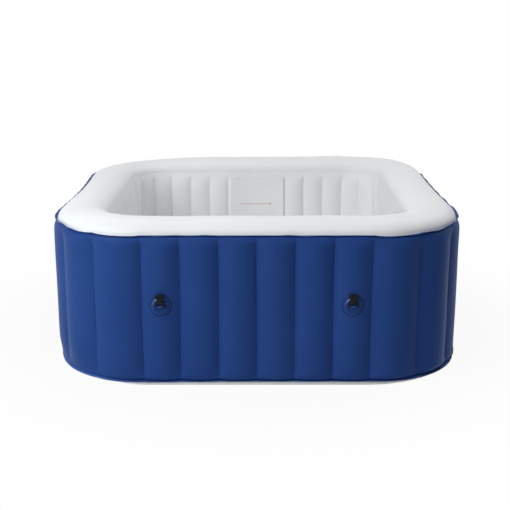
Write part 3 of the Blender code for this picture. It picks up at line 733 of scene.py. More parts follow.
@dataclass(frozen=True)
class TubPlan:
    """Shared lengths of the tub in metres, from the frame and its weld layout."""

    core: float
    seam: float
    rim_top: float
    outer_radius: float = 0.354
    chamber: float = 0.188
    outer_sag: float = 0.021
    inner_sag: float = 0.014
    corner_ribs: int = 3
    scallop: float = 0.0045
    base_rise: float = 0.0145
    base_seam: float = 0.0163
    skin: float = 0.0007
    floor_top: float = 0.0011
    outer_ribs: int = 6
    corner_sag: float = 0.0045
    left_sag: float = 0.0032
    left_bow: float = 0.016
    right_bow: float = 0.007
    bow_depth: float = 0.062
    bow_half: float = 0.55
    tuck: float = 0.62

    @classmethod
    def from_frame(cls) -> "TubPlan":
        """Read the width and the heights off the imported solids."""
        wall_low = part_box("outer_wall_front")[0]
        rim_low, rim_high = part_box("top_rim")
        core = -wall_low[1] - cls.outer_sag - cls.outer_radius
        return cls(core=core, seam=rim_low[2], rim_top=rim_high[2])

    @property
    def inner_radius(self) -> float:
        """Corner radius of the pool's weld line."""
        return self.outer_radius - self.chamber

    @property
    def inner_seam(self) -> float:
        """Height of the weld between the rim and the inner wall."""
        return self.seam - 0.0005

    def contour(self, distance: Array, radius: float, lift: Array, height: Array, side: Side) -> Array:
        """Points of a wall at a distance along one side's contour.

        Args:
            distance: distance from the middle of the side, along a contour of that radius.
            radius: radius of the contour off the core square.
            lift: lift off the contour.
            height: height of the points.
            side: side of the tub.

        Returns:
            The points.
        """
        over = np.clip(np.abs(distance) - self.core, 0.0, None) * np.sign(distance)
        angle = over / radius
        reach = radius + lift
        x = np.clip(distance, -self.core, self.core) + np.sin(angle) * reach
        y = -self.core - np.cos(angle) * reach
        return quarter_turn(x, y, height, side)

    def loop(self, straight: int, corner: int) -> tuple[Array, Array, Array]:
        """Places round the whole loop.

        Args:
            straight: cells along each straight side.
            corner: cells round each corner.

        Returns:
            Side number, place along the straight and corner angle of each column.
        """
        places = [(side, -self.core + 2 * self.core * step / straight, 0.0)
                  for side in range(4) for step in range(straight)]
        turns = [(side, self.core, pi / 2 * step / corner) for side in range(4) for step in range(corner)]
        ordered = sorted(places + turns, key=lambda item: (item[0], item[2], item[1]))
        ordered.append((4, -self.core, 0.0))
        columns = np.array(ordered)
        return columns[:, 0], columns[:, 1], columns[:, 2]

    def loop_points(self, side: Array, place: Array, angle: Array, reach: Array, height: Array) -> Array:
        """Points at a reach from the core square, all the way round."""
        x = place + np.sin(angle) * reach
        y = -self.core - np.cos(angle) * reach
        turn = side * pi / 2
        return np.stack([x * np.cos(turn) - y * np.sin(turn), x * np.sin(turn) + y * np.cos(turn), height], -1)

    def scallop_share(self, angle: Array) -> Array:
        """Scallop of the top weld at a corner angle, 1 on a rib's crown and 0 at its creases."""
        return np.abs(np.sin(angle / (pi / 2) * self.corner_ribs * pi)) ** 0.5

    def relax(self, points: Array) -> Array:
        """Let an even shape sag as a filled tub does: sides bowed in at the top, one corner tucked under.

        Args:
            points: points of a skin.

        Returns:
            The moved points.
        """
        moved = points.copy()
        x, y, z = points.T
        upper = bump_step(z, self.seam - self.bow_depth, self.seam) * bump_step(np.abs(x), 0.62, 0.75)
        bow = np.where(x < 0.0, self.left_bow, self.right_bow)
        bow = bow * np.cos(np.clip(y / self.bow_half, -1.0, 1.0) * pi / 2) ** 2
        moved[:, 0] -= np.sign(x) * bow * upper
        corner = bump_step(-x, self.core, self.core + 0.25) * bump_step(-y, self.core - 0.05, self.core + 0.12)
        away = points[:, :2] + self.core
        reach = np.maximum(np.linalg.norm(away, axis=1), 1e-6)
        under = self.tuck * corner * bump_step(0.11 - z, 0.0, 0.09) * np.clip(reach - self.outer_radius, 0.0, None)
        moved[:, :2] -= away / reach[:, None] * under[:, None]
        return moved

    def lip_sag(self, points: Array) -> Array:
        """How far the bottom lip hangs down towards the left and at the corners."""
        x, y = points[:, 0], points[:, 1]
        corner = bump_step(np.abs(x), self.core, self.core + 0.2) * bump_step(np.abs(y), self.core, self.core + 0.2)
        return self.left_sag * bump_step(-x, 0.05, 0.45) + self.corner_sag * corner

    def seam_drop(self, distance: Array) -> Array:
        """How far the top weld hangs down at a distance along the outer contour."""
        over = np.clip(np.abs(distance) - self.core, 0.0, None)
        return self.scallop * self.scallop_share(over / self.outer_radius)


def quarter_turn(x: Array, y: Array, height: Array, side: Side) -> Array:
    """Turn points of the front round to a side."""
    for _ in range(side.value):
        x, y = -y, x
    return np.stack(np.broadcast_arrays(x, y, height), -1)


def arc_section(share: Array, chord: float, sag: float) -> Array:
    """Swell of an inflated rib between two creases, 0 to 1, as a circular arc."""
    radius = (chord * chord / 4 + sag * sag) / (2 * sag)
    across = (share - 0.5) * chord
    return (np.sqrt(radius * radius - across * across) - (radius - sag)) / sag


@dataclass
class RibbedWall:
    """Ribbed skin of the chamber: four welded panels that swell between their creases."""

    plan: TubPlan
    material: Material
    slot: Slot
    stem: str
    radius: float
    ribs: int
    sag: float
    outward: float
    top: float
    base: float
    top_shoulder: float
    base_shoulder: float
    top_flange: float
    base_flange: float
    crease_fade: float
    columns_per_rib: int = 14
    middle_rows: int = 18
    shoulder_rows: int = 9
    pad: float = 0.0
    pad_edge: float = 0.0065
    pad_edge_cells: int = 5
    crease_lean: float = 0.0
    fade_drop: float = 0.016
    seed: int = 1
    scalloped: bool = False
    soft_top: bool = False
    lip_droop: float = 0.0
    side_fullness: float = 1.0
    side_lip: float = 0.011
    spread: float = 0.10
    front_spread: float = 0.02
    uneven: float = 0.0011
    pucker: float = 0.0011
    wander: float = 0.0016
    edge_rise: float = 0.0012
    edge_wave: float = 0.0030
    crease_rise: float = 0.0022
    holes: dict[Side, list[tuple[Matrix, float]]] = field(default_factory=dict)
    pieces: dict[Side, Object] = field(default_factory=dict)

    def creases(self, side: Side) -> list[float]:
        """Crease places along one panel's contour."""
        plan = self.plan
        turn = self.radius * pi / 2 / plan.corner_ribs
        straight = [-plan.core + 2 * plan.core * rib / self.ribs for rib in range(self.ribs + 1)]
        if side is Side.BACK:
            pad_half = 2 * plan.core / plan.outer_ribs
            straight = [place for place in straight if abs(place) > pad_half * 0.99]
        corner = [plan.core + turn * (rib + 1) for rib in range(plan.corner_ribs - 1)]
        return [-plan.core - turn, *straight, *corner]

    def columns(self, side: Side) -> tuple[Array, Array]:
        """Columns of one panel.

        Args:
            side: side of the panel.

        Returns:
            Distance and swell share of each column.
        """
        marks = self.creases(side)
        draw = np.random.default_rng(self.seed + 10 * side.value)
        distance, swell = [], []
        for start, end in zip(marks, marks[1:]):
            chord = end - start
            if side is Side.BACK and start < 0.0 < end:
                edge = np.linspace(0.0, self.pad_edge, self.pad_edge_cells + 1) / chord
                field_steps = np.linspace(edge[-1], 1.0 - edge[-1], self.columns_per_rib)[1:-1]
                steps = np.concatenate([edge, field_steps, 1.0 - edge[:0:-1]])
                inwards = np.minimum(steps, 1.0 - steps) * chord
                swell.append(bump_step(inwards, 0.0, self.pad_edge) * self.pad / self.sag)
            else:
                steps = 0.5 - 0.5 * np.cos(pi * np.arange(self.columns_per_rib) / self.columns_per_rib)
                spread = self.front_spread if side is Side.FRONT else self.spread
                fullness = 1.0 + spread * draw.uniform(-1.0, 1.0)
                fullness *= self.side_fullness if side in (Side.LEFT, Side.RIGHT) else 1.0
                swell.append(fullness * arc_section(steps, chord, self.sag))
            distance.append(start + chord * steps)
        return np.concatenate([*distance, [marks[-1]]]), np.concatenate([*swell, [0.0]])

    def rows(self) -> tuple[Array, Array, Array]:
        """Rows of a panel from top to bottom.

        Returns:
            Reach of the flange, swell share and height of each row.
        """
        turn = np.linspace(0.0, pi / 2, self.shoulder_rows + 1)
        top_share = bump_step(turn, 0.0, pi / 2) ** 1.8 if self.soft_top else np.sin(turn)
        top_heights = self.top - self.top_shoulder * (1.0 - np.cos(turn))
        low_heights = self.base + self.base_shoulder * (1.0 - np.cos(turn[::-1]))
        middle = np.linspace(top_heights[-1], low_heights[0], self.middle_rows + 1)[1:-1]
        flange = np.array([1.0, 0.5])
        reach = np.concatenate([flange * self.top_flange, 0.0 * turn, 0.0 * middle, 0.0 * turn,
                                flange[::-1] * self.base_flange])
        share = np.concatenate([[0.0, 0.0], top_share, np.ones_like(middle), np.sin(turn[::-1]), [0.0, 0.0]])
        lip = self.base - self.lip_droop * flange[::-1] ** 1.5
        height = np.concatenate([[self.top] * 2, top_heights, middle, low_heights, lip])
        return reach, share, height

    def lift(self, distance: Array, swell: Array, share: Array, height: Array, side: Side) -> Array:
        """Swell of the skin off its weld lines, with creases that fade at their ends.

        Args:
            distance: distance along the contour.
            swell: swell share across the rib.
            share: swell share up the rib.
            height: height of the points.
            side: side of the panel.

        Returns:
            The lift off the contour.
        """
        below = self.top - height
        above = height - self.base
        bridge = np.exp(-((below - self.fade_drop) / 0.021) ** 2) * bump_step(below, 0.0, 0.010)
        bridge = bridge + 0.7 * np.exp(-((above - 0.012) / 0.014) ** 2) * bump_step(above, 0.0, 0.008)
        body = self.sag * swell * share
        fill = np.minimum(self.crease_fade * bridge, 0.7 * self.sag * share) * (1.0 - np.clip(swell, 0.0, 1.0))
        seed = self.seed + side.value
        uneven = self.uneven * share * waves(distance, height, seed, (0.31, 0.19, 0.47, 0.26))
        ends = np.exp(-below / 0.022) + np.exp(-above / 0.018)
        pucker = waves(distance, 0.3 * height, seed + 50, (0.021, 0.034, 0.027))
        pucker = pucker * (0.5 + 0.5 * waves(distance, height, seed + 90, (0.23, 0.41)))
        ramp = bump_step(np.minimum(below, above), 0.0, 0.006)
        return body + fill + (uneven + self.pucker * pucker * ends * ramp) * np.clip(swell * 3.0, 0.25, 1.0)

    def build(self, side: Side) -> Object:
        """Model one panel as a skin with thickness.

        Args:
            side: side of the panel.

        Returns:
            The panel.
        """
        plan = self.plan
        distance, swell = self.columns(side)
        reach, share, height = self.rows()
        piece, column, row = grid_piece(f"{self.stem}_{side.word}_skin", len(distance) - 1, len(reach) - 1)
        d, s = distance[column], swell[column]
        r, h, z = reach[row], share[row], height[row]
        wander = self.wander * waves(d, z, self.seed + 7 * side.value, (0.33, 0.52))
        lift = self.lift(d, s, h, z, side) * np.where(r > 0.0, 0.0, 1.0) + self.outward * r
        # The flanges carry the weld band; on the blue outer wall its colour is painted highlight.
        weld = np.where(r > 0.0, 1.0, 0.0)
        if self.scalloped:
            upper = bump_step(z, self.top - 0.12, self.top)
            z = z - plan.seam_drop(d) * upper
            edge_wave = waves(d, 0.0 * d, self.seed + 30 + side.value, (0.083, 0.131, 0.059))
            rim_side = np.where(row < 2, 1.0, 0.0) * (r / self.top_flange) ** 2
            z = z + rim_side * (self.edge_rise + self.edge_wave * edge_wave)
            lip_side = np.where(row > row.max() - 2, 1.0, 0.0)
            z = z + self.crease_rise * lip_side * (1.0 - np.clip(s, 0.0, 1.0)) ** 2
        ends = np.where((column == 0) | (column == column.max()), 0.0, 1.0)
        lean = self.crease_lean * np.clip(d / plan.core, -1.0, 1.0) * np.exp(-np.clip(self.top - z, 0.0, None) / 0.018)
        points = plan.contour(d + (wander * h + lean) * ends, self.radius, self.outward * lift, z, side)
        if self.scalloped:
            points[:, 2] += self.side_lip * rim_side * bump_step(np.abs(points[:, 0]), 0.62, 0.74)
            points[:, 2] -= lip_side * r / self.base_flange * plan.lip_sag(points)
            points = plan.relax(points)
        put_points(piece, points)
        set_attribute(piece, WELD, weld)
        edit(piece)
        bpy.ops.mesh.normals_make_consistent(inside=False)
        bpy.ops.object.mode_set(mode="OBJECT")
        thicken(piece, plan.skin, self.faces_chamber(piece, side))
        self.pieces[side] = piece
        return piece

    def faces_chamber(self, piece: Object, side: Side) -> bool:
        """Whether the panel's faces look into the air chamber."""
        away = Vector(quarter_turn(0.0, -self.outward, 0.0, side))
        total = sum((face.normal * face.area for face in piece.data.polygons), Vector())
        return total.dot(away) < 0.0

    def build_all(self) -> None:
        """Model and dress all four panels."""
        for side in Side:
            piece = self.build(side)
            combine(piece, [bore(radius, place, -0.05, 0.05) for place, radius in self.holes.get(side, ())])
            dress(piece, self.material, nodes=[f"{self.stem}_{side.word}"], angle=50.0)


@dataclass
class TopRim:
    """White inflated rim that arches from the outer to the inner weld."""

    plan: TubPlan
    material: Material
    flange: float = 0.002
    hidden_flange: float = 0.010
    front_rise: float = 0.88
    tilt: float = 0.14
    back_left_rise: float = 0.78
    straight_cells: int = 36
    corner_cells: int = 36
    arch_cells: int = 22
    sway: float = 0.0014
    heave: float = 0.0022
    fold: float = 0.0012
    bead: float = 0.0013
    bead_cells: int = 8

    def build_bead(self, material: Material) -> Object:
        """Model the weld bead that closes the inner seam.

        Args:
            material: its finish.

        Returns:
            The bead.
        """
        plan = self.plan
        side, place, angle = plan.loop(self.straight_cells, self.corner_cells)
        piece, column, row = grid_piece("inner_weld_bead", len(side) - 1, self.bead_cells)
        turn = 2 * pi * row / self.bead_cells
        run = place[column] + angle[column] * plan.inner_radius + 2.0 * side[column]
        thick = self.bead * (1.0 + 0.12 * waves(run, 0.0 * run, 12, (0.045, 0.071, 0.12)))
        points = plan.loop_points(side[column], place[column], angle[column], plan.inner_radius + thick * np.cos(turn),
                                  plan.inner_seam + 1.1 * thick * np.sin(turn))
        put_points(piece, points)
        face_outwards(piece, 1e-5)
        return dress(piece, material, angle=60.0)

    def rise_share(self, points: Array) -> Array:
        """Share of the full rise at each place of the rim, which is never quite even."""
        x, y = points[:, 0], points[:, 1]
        back = bump_step(y, -0.4, 0.7)
        corner = bump_step(-x, 0.25, 0.62) * bump_step(y, 0.25, 0.62)
        front = bump_step(-y, 0.2, 0.66)
        return 1.0 + self.tilt * x * back + (self.front_rise - 1.0) * front + (self.back_left_rise - 1.0) * corner

    def build(self) -> Object:
        """Model the rim as one closed loop."""
        plan = self.plan
        side, place, angle = plan.loop(self.straight_cells, self.corner_cells)
        outer_seam = plan.seam + plan.skin
        inner_edge = plan.seam - 0.0004
        arch = np.linspace(0.0, pi, self.arch_cells + 1)
        middle = plan.outer_radius - plan.chamber / 2
        reach = np.concatenate([[plan.outer_radius + self.flange], middle + plan.chamber / 2 * np.cos(arch),
                                [plan.inner_radius + self.hidden_flange]])
        rise = plan.rim_top - outer_seam
        height = np.concatenate([[outer_seam], outer_seam + rise * np.sin(arch) ** 0.92, [inner_edge]])
        height[-2] = inner_edge
        outer_share = np.concatenate([[1.0], 1.0 - bump_step(arch, 0.0, radians(55)), [0.0]])
        weld = np.concatenate([[1.0], 0.0 * arch, [1.0]])
        swell = np.concatenate([[0.0], np.sin(arch), [0.0]])
        piece, column, row = grid_piece("top_rim_skin", len(side) - 1, len(reach) - 1)
        a = angle[column]
        s = side[column]
        run = place[column] + a * plan.outer_radius + s * 2.2
        up = arch[np.clip(row - 1, 0, self.arch_cells)]
        r = reach[row] + self.sway * swell[row] * waves(run, up * 0.1, 5, (0.41, 0.63, 0.27))
        h = height[row] + self.heave * swell[row] * waves(run, up * 0.1, 6, (0.55, 0.83, 0.37))
        corner = np.where(a > 0.0, np.sin(np.clip(2 * a, 0.0, pi)), 0.0)
        fold = waves(run, 0.0 * run, 8, (0.026, 0.041, 0.033))
        h = h + self.fold * fold * corner * swell[row] * np.exp(-np.minimum(up, pi - up) / 0.35)
        h = h - plan.scallop * plan.scallop_share(a) * outer_share[row]
        points = plan.loop_points(s, place[column], a, r, h)
        above = np.clip(points[:, 2] - outer_seam, 0.0, None)
        points[:, 2] += above * (self.rise_share(points) - 1.0)
        put_points(piece, plan.relax(points))
        set_attribute(piece, WELD, weld[row])
        face_outwards(piece, 1e-5)
        top = max(piece.data.polygons, key=lambda face: face.center.z)
        thicken(piece, plan.skin, top.normal.z < 0.0)
        return dress(piece, self.material, nodes=["top_rim"], angle=60.0)


@dataclass
class FloorSheet:
    """Pale bottom sheet: weld flange, rolled edge and pool floor in one piece."""

    plan: TubPlan
    material: Material
    flange: float = 0.014
    swell: float = 0.011
    roll: float = -0.005
    tuck: float = 0.026
    right_tuck: float = 0.008
    skin: float = 0.0008
    uneven: float = 0.0012
    lip_droop: float = 0.0003
    straight_cells: int = 24
    corner_cells: int = 24
    roll_cells: int = 8
    floor_rings: int = 8

    def build(self) -> Object:
        """Model the sheet from its flange round the roll to the middle of the floor."""
        plan = self.plan
        side, place, angle = plan.loop(self.straight_cells, self.corner_cells)
        last = self.roll_cells + 1
        piece, column, row = grid_piece("floor_sheet", len(side) - 1, last + self.floor_rings)
        turn = np.clip((row - 1) / self.roll_cells, 0.0, 1.0)
        bulge = -(4 * self.swell + 2 * self.roll) * turn ** 2 + (4 * self.swell + self.roll) * turn
        a, s, p = angle[column], side[column], place[column]
        tuck = np.where(s == Side.FRONT.value, self.right_tuck, self.tuck)
        reach = plan.outer_radius + bulge - tuck * turn * np.sin(2 * a)
        reach = reach + np.where(row == 0, self.flange, 0.0)
        run = p + a * plan.outer_radius + 2.2 * s
        reach = reach + self.uneven * turn * (1.0 - turn) * 4.0 * waves(run, 0.0 * run, 3, (0.21, 0.34))
        height = plan.base_rise * (1.0 - turn) - np.where(row == 0, self.lip_droop, 0.0)
        points = plan.loop_points(s, p, a, reach, height)
        points[:, 2] -= np.where(row == 0, plan.lip_sag(points), 0.0)
        inward = np.clip((row - last) / self.floor_rings, 0.0, 1.0)
        points = plan.relax(points)
        points[:, :2] *= (1.0 - inward)[:, None]
        put_points(piece, points)
        set_attribute(piece, WELD, np.where(row == 0, 1.0, 0.0))
        face_outwards(piece, 1e-5)
        middle = min(piece.data.polygons, key=lambda face: face.center.length)
        thicken(piece, self.skin, middle.normal.z > 0.0)
        return dress(piece, self.material, nodes=["bottom_sheet"], angle=50.0)


@dataclass
class BubbleRing:
    """Bubble channel on the pool floor, with its row of air nozzles."""

    plan: TubPlan
    material: Material
    nozzle_material: Material
    radius: float = 0.095
    half: float = 0.022
    height: float = 0.034
    wall: float = 0.0012
    straight_cells: int = 28
    corner_cells: int = 14
    nozzles_per_side: int = 15
    nozzles_per_corner: int = 3
    section_cells: int = 16

    def build(self) -> None:
        """Model the channel and set the nozzles on it."""
        self.build_channel()
        self.build_nozzles()

    def build_channel(self) -> Object:
        """Model the arched channel as one loop."""
        plan = self.plan
        side, place, angle = plan.loop(self.straight_cells, self.corner_cells)
        piece, column, row = grid_piece("bubble_channel", len(side) - 1, self.section_cells)
        turn = pi * row / self.section_cells
        across = self.half * np.sign(np.cos(turn)) * np.abs(np.cos(turn)) ** 0.75
        up = self.height * np.sin(turn) ** 0.75
        run = place[column] + angle[column] * self.radius + 2.0 * side[column]
        up = up * (1.0 - 0.02 * (1.0 + waves(run, across, 4, (0.17, 0.29, 0.11))))
        points = plan.loop_points(side[column], place[column], angle[column], self.radius + across,
                                  plan.floor_top + up)
        put_points(piece, points)
        face_outwards(piece, 1e-5)
        top = max(piece.data.polygons, key=lambda face: face.center.z)
        thicken(piece, self.wall, top.normal.z < 0.0)
        return dress(piece, self.material, nodes=["air_jet_ring"], angle=50.0)

    def build_nozzles(self) -> Object:
        """Model one nozzle and copy it along the crest."""
        side, place, angle = self.plan.loop(self.nozzles_per_side, self.nozzles_per_corner)
        spots = self.plan.loop_points(side, place, angle, self.radius + 0.0 * angle,
                                      np.full_like(angle, self.plan.floor_top + 0.955 * self.height))[:-1]
        profile = [(0.0, 0.0), (0.0052, 0.0), (0.0050, 0.0016), (0.0034, 0.0026), (0.0016, 0.0026),
                   (0.0013, 0.0008), (0.0, 0.0008)]
        first = turned("nozzle", profile, Matrix(), steps=10, edge=0.0)
        copies = [copy_piece(first, "nozzle_copy", Matrix.Translation(Vector(spot))) for spot in spots]
        bpy.data.objects.remove(first, do_unlink=True)
        return dress(join(copies, "bubble_nozzles"), self.nozzle_material)


def upright(x: float, depth: float, height: float, facing_back: bool = False) -> Matrix:
    """Place whose local Z faces the pool from the back wall, or away from the tub's back."""
    turn = Matrix.Rotation(pi if facing_back else 0.0, 4, "Z")
    return Matrix.Translation((x, depth, height)) @ turn @ Matrix.Rotation(pi / 2, 4, "X")


def bore(radius: float, place: Matrix, low: float, high: float) -> Object:
    """Cylinder for cutting a round hole."""
    return turned("bore", [(0.0, low), (radius, low), (radius, high), (0.0, high)], place, edge=0.0)


def back_holes(depth: float, holes: Sequence[Hole]) -> list[tuple[Matrix, float]]:
    """Axes and radii of holes through the back at a depth, from their (x, z, radius)."""
    return [(along((x, depth, z), (0, 1, 0)), radius) for x, z, radius in holes]


@dataclass
class WallPanel:
    """Flat welded panel at the middle of the back, with a raised hem."""

    node: str
    material: Material
    slot: Slot
    facing_back: bool
    holes: Sequence[Hole]
    corner: float = 0.030
    hem: float = 0.007
    hem_rise: float = 0.0006

    def build(self) -> Object:
        """Model the panel from a plane, with its hem."""
        low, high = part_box(self.node)
        width, height = high[0] - low[0], high[2] - low[2]
        thick = high[1] - low[1]
        depth = low[1] if self.facing_back else high[1]
        place = upright((low[0] + high[0]) / 2, depth, (low[2] + high[2]) / 2, self.facing_back)
        free_hands()
        bpy.ops.mesh.primitive_plane_add(size=1.0)
        piece = christen(f"{self.node}_sheet")
        edit(piece)
        bpy.ops.transform.resize(value=(width, height, 1.0))
        bpy.ops.mesh.bevel(offset=self.corner, segments=10, affect="VERTICES")
        bpy.ops.mesh.select_all(action="SELECT")
        bpy.ops.mesh.extrude_region_move(TRANSFORM_OT_translate={"value": (0.0, 0.0, thick)})
        bpy.ops.mesh.inset(thickness=self.hem, depth=0.0)
        bpy.ops.mesh.inset(thickness=0.0015, depth=-self.hem_rise)
        face_outwards(piece)
        round_edges(piece, 0.0004)
        return settle(piece, place)

    def finish(self, piece: Object) -> Object:
        """Cut the holes and dress the panel."""
        holes = back_holes(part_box(self.node)[0][1], self.holes)
        combine(piece, [bore(radius, place, -0.01, 0.015) for place, radius in holes])
        return dress(piece, self.material, nodes=[self.node])


@dataclass
class LevelPlate:
    """Recess and red water line of the pool's panel."""

    material: Material
    line_width: float = 0.158
    line_middle: float = -0.005
    line_height: float = 0.4025
    line_thick: float = 0.0015
    recess_size: tuple[float, float] = (0.206, 0.3195)
    recess_low: float = 0.092
    recess_depth: float = 0.0009
    recess_slope: float = 0.006
    print_thick: float = 0.0003

    @property
    def face(self) -> float:
        """Depth of the panel's face inside its hem."""
        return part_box("fitting_panel")[0][1] + WallPanel.hem_rise

    def cut_recess(self, panel: Object) -> None:
        """Press the lower field of the panel in."""
        width, height = self.recess_size
        level = self.recess_low + height / 2
        cutter = block("recess", (width, 2 * self.recess_depth, height), (0.0, self.face, level))
        points = read_points(cutter)
        deep = points[:, 1] > self.face
        middle = np.array([0.0, 0.0, level])
        points[deep] -= self.recess_slope * np.sign(points[deep] - middle) * np.array([1.0, 0.0, 1.0])
        put_points(cutter, points)
        combine(panel, [cutter])

    def build(self) -> Object:
        """Model the printed line with its pointer."""
        line = block("line", (self.line_width, self.print_thick, self.line_thick),
                     (self.line_middle, self.face, self.line_height))
        end = self.line_middle + self.line_width / 2
        free_hands()
        bpy.ops.mesh.primitive_circle_add(vertices=3, radius=0.0062, fill_type="NGON")
        pointer = christen("pointer")
        edit(pointer)
        bpy.ops.mesh.extrude_region_move(TRANSFORM_OT_translate={"value": (0.0, 0.0, self.print_thick)})
        face_outwards(pointer)
        tip = upright(end - 0.010, self.face + 0.0002, self.line_height)
        settle(pointer, tip @ Matrix.Rotation(pi / 2, 4, "Z"))
        return dress(combine(line, [pointer], "UNION"), self.material)


@dataclass(frozen=True)
class Grip:
    """Moulded grip ribs round the side of a cap."""

    count: int
    low: float
    high: float
    depth: float = 0.0008

    def press(self, piece: Object) -> None:
        """Raise every other strip of the cap's side.

        Args:
            piece: the cap, still on its own axis.
        """
        def wanted(centre: Vector, normal: Vector) -> bool:
            """Whether a face belongs to a raised strip."""
            share = np.arctan2(centre.y, centre.x) / (2 * pi) * self.count
            outward = normal.x * centre.x + normal.y * centre.y > 0.0
            return outward and abs(normal.z) < 0.4 and self.low < centre.z < self.high and share % 1.0 < 0.5

        select_faces(piece, wanted)
        bpy.ops.mesh.extrude_region_shrink_fatten(TRANSFORM_OT_shrink_fatten={"value": self.depth})
        bpy.ops.object.mode_set(mode="OBJECT")


def gripped(name: str, profile: Profile, grip: Grip, place: Matrix, edge: float = 0.0004) -> Object:
    """Turn a cap, press its grip ribs and round its edges."""
    piece = turned(name, profile, Matrix(), steps=4 * grip.count, edge=0.0)
    grip.press(piece)
    round_edges(piece, edge, 2, 40.0)
    return settle(piece, place)


@dataclass
class WallFitting:
    """Flanged tube through the back of the chamber."""

    word: str
    material: Material
    x: float
    height: float
    radius: float
    wall: float
    inside: float
    spigot: float
    flange: float = 0.012
    flange_thick: float = 0.004
    face: float = 0.7816

    @property
    def place(self) -> Matrix:
        """Axis of the fitting, pointing away from the tub's back."""
        return along((self.x, self.face, self.height), (0, 1, 0))

    @property
    def outer(self) -> float:
        """Outer radius of the tube."""
        return self.radius + self.wall

    def build_tube(self) -> Object:
        """Model the tube with its flange, lead-in and two thread ridges."""
        o, b, t = self.outer, self.radius, self.flange_thick
        rim = o + self.flange
        end = self.spigot
        profile = [(b, -self.inside), (o, -self.inside), (o, 0.0), (rim, 0.0), (rim, t - 0.0012),
                   (rim - 0.0035, t), (o + 0.0008, t)]
        for ridge in (0.45, 0.72):
            h = t + (end - t) * ridge
            profile += [(o - 0.0003, h - 0.0014), (o, h - 0.0006), (o, h + 0.0006), (o - 0.0003, h + 0.0014)]
        profile += [(o - 0.0003, end - 0.0012), (o - 0.0012, end), (b, end), (b, -self.inside)]
        piece = turned(f"{self.word}_tube", profile, self.place, steps=64, edge=0.0003)
        return dress(piece, self.material, nodes=[self.word])


@dataclass
class WaterPort:
    """Hose port: flanged tube and screw cap outside, strainer in the pool."""

    word: str
    x: float
    finish: "Finishes"
    height: float = 0.175
    bore: float = 0.020
    wall: float = 0.004
    spigot: float = 0.026
    pool_face: float = 0.5704
    tube_end: float = 0.0097
    hole: float = 0.0243
    washer: float = 0.0026
    slit_pitch: float = 0.010
    slit_field: float = 0.032

    def build(self) -> None:
        """Model the port's three visible pieces."""
        fitting = WallFitting(f"{self.word}_fitting", self.finish.grey, self.x, self.height, self.bore, self.wall,
                              WallFitting.face - self.pool_face + self.tube_end, self.spigot)
        fitting.build_tube()
        screw_cap(f"{self.word}_cap", fitting, self.washer, self.finish.grey)
        self.build_strainer()

    def build_strainer(self) -> Object:
        """Model the domed strainer and cut its slits."""
        outer = [(0.0, 0.0240), (0.012, 0.0238), (0.0215, 0.0229), (0.0300, 0.0207), (0.0362, 0.0165),
                 (0.0392, 0.0110), (0.0400, 0.0062), (0.0400, 0.0)]
        inner = [(0.0246, 0.0), (0.0246, 0.0028), (0.0372, 0.0028), (0.0365, 0.0095), (0.0338, 0.0142),
                 (0.0282, 0.0180), (0.0200, 0.0201), (0.0, 0.0212)]
        piece = turned(f"{self.word}_grille", outer + inner, Matrix(), steps=64, edge=0.0004)
        slits = []
        for number in range(-2, 3):
            shift = self.slit_pitch * number
            length = 2 * sqrt(self.slit_field ** 2 - shift ** 2)
            slit = block("slit", (length, 0.005, 0.014), (0.0, shift, 0.024))
            modify(slit, "BEVEL", width=0.0024, segments=4, limit_method="ANGLE", angle_limit=radians(30))
            slits.append(slit)
        combine(piece, slits)
        round_edges(piece, 0.0004, 1, 50.0)
        settle(piece, along((self.x, self.pool_face, self.height), (0, -1, 0)))
        body = f"{self.word}_strainer"
        return dress(piece, self.finish.ivory, body, [body])


def screw_cap(node: str, fitting: WallFitting, washer: float, material: Material) -> Object:
    """Model a screw cap with grip ribs and a ringed top.

    Args:
        node: frame node and body of the cap.
        fitting: the fitting that it closes.
        washer: room for the seal under its top.
        material: its finish.

    Returns:
        The cap.
    """
    inner = fitting.outer + 0.0006
    outer = inner + 0.0032
    seat = fitting.spigot + washer
    top = seat + 0.003
    lip = fitting.flange_thick + 0.002
    ring = 0.62 * outer
    grip = Grip(24, lip + 0.0016, top - 0.0022)
    profile = [(0.0, seat), (inner, seat), (inner, lip), (outer, lip), (outer, grip.low), (outer, grip.high),
               (outer - 0.0020, top), (ring + 0.0012, top), (ring, top - 0.0008), (ring - 0.0020, top - 0.0008),
               (ring - 0.0030, top), (0.0, top)]
    piece = gripped(f"{node}_shell", profile, grip, fitting.place)
    return dress(piece, material, node, [node])


@dataclass
class AirInlet:
    """Air inlet for the bubbles: flanged tube and push-on cap with a pull tab."""

    finish: "Finishes"
    height: float = 0.275
    bore: float = 0.015
    wall: float = 0.004
    inside: float = 0.030
    spigot: float = 0.026
    hole: float = 0.0193

    def build(self) -> None:
        """Model the tube and its cap."""
        fitting = WallFitting("air_inlet_fitting", self.finish.grey, 0.0, self.height, self.bore, self.wall,
                              self.inside, self.spigot)
        fitting.build_tube()
        inner = fitting.outer + 0.0003
        seat, lip = 0.0263, 0.006
        top = seat + 0.003
        profile = [(0.0, seat), (inner, seat), (inner, lip), (inner + 0.004, lip), (inner + 0.0039, lip + 0.002),
                   (inner + 0.0026, top - 0.0016), (inner + 0.0010, top), (0.010, top), (0.009, top - 0.0009),
                   (0.0, top - 0.0009)]
        cap = turned("air_inlet_cap_shell", profile, fitting.place, steps=64)
        beside = fitting.place @ Matrix.Translation((0.0, inner + 0.0055, 0.0))
        tab = block("tab", (0.010, 0.0026, 0.011), (0.0, 0.0, lip + 0.004), beside)
        round_edges(tab, 0.001, 3)
        combine(cap, [tab], "UNION")
        dress(cap, self.finish.grey, "air_inlet_cap", ["air_inlet_cap"])


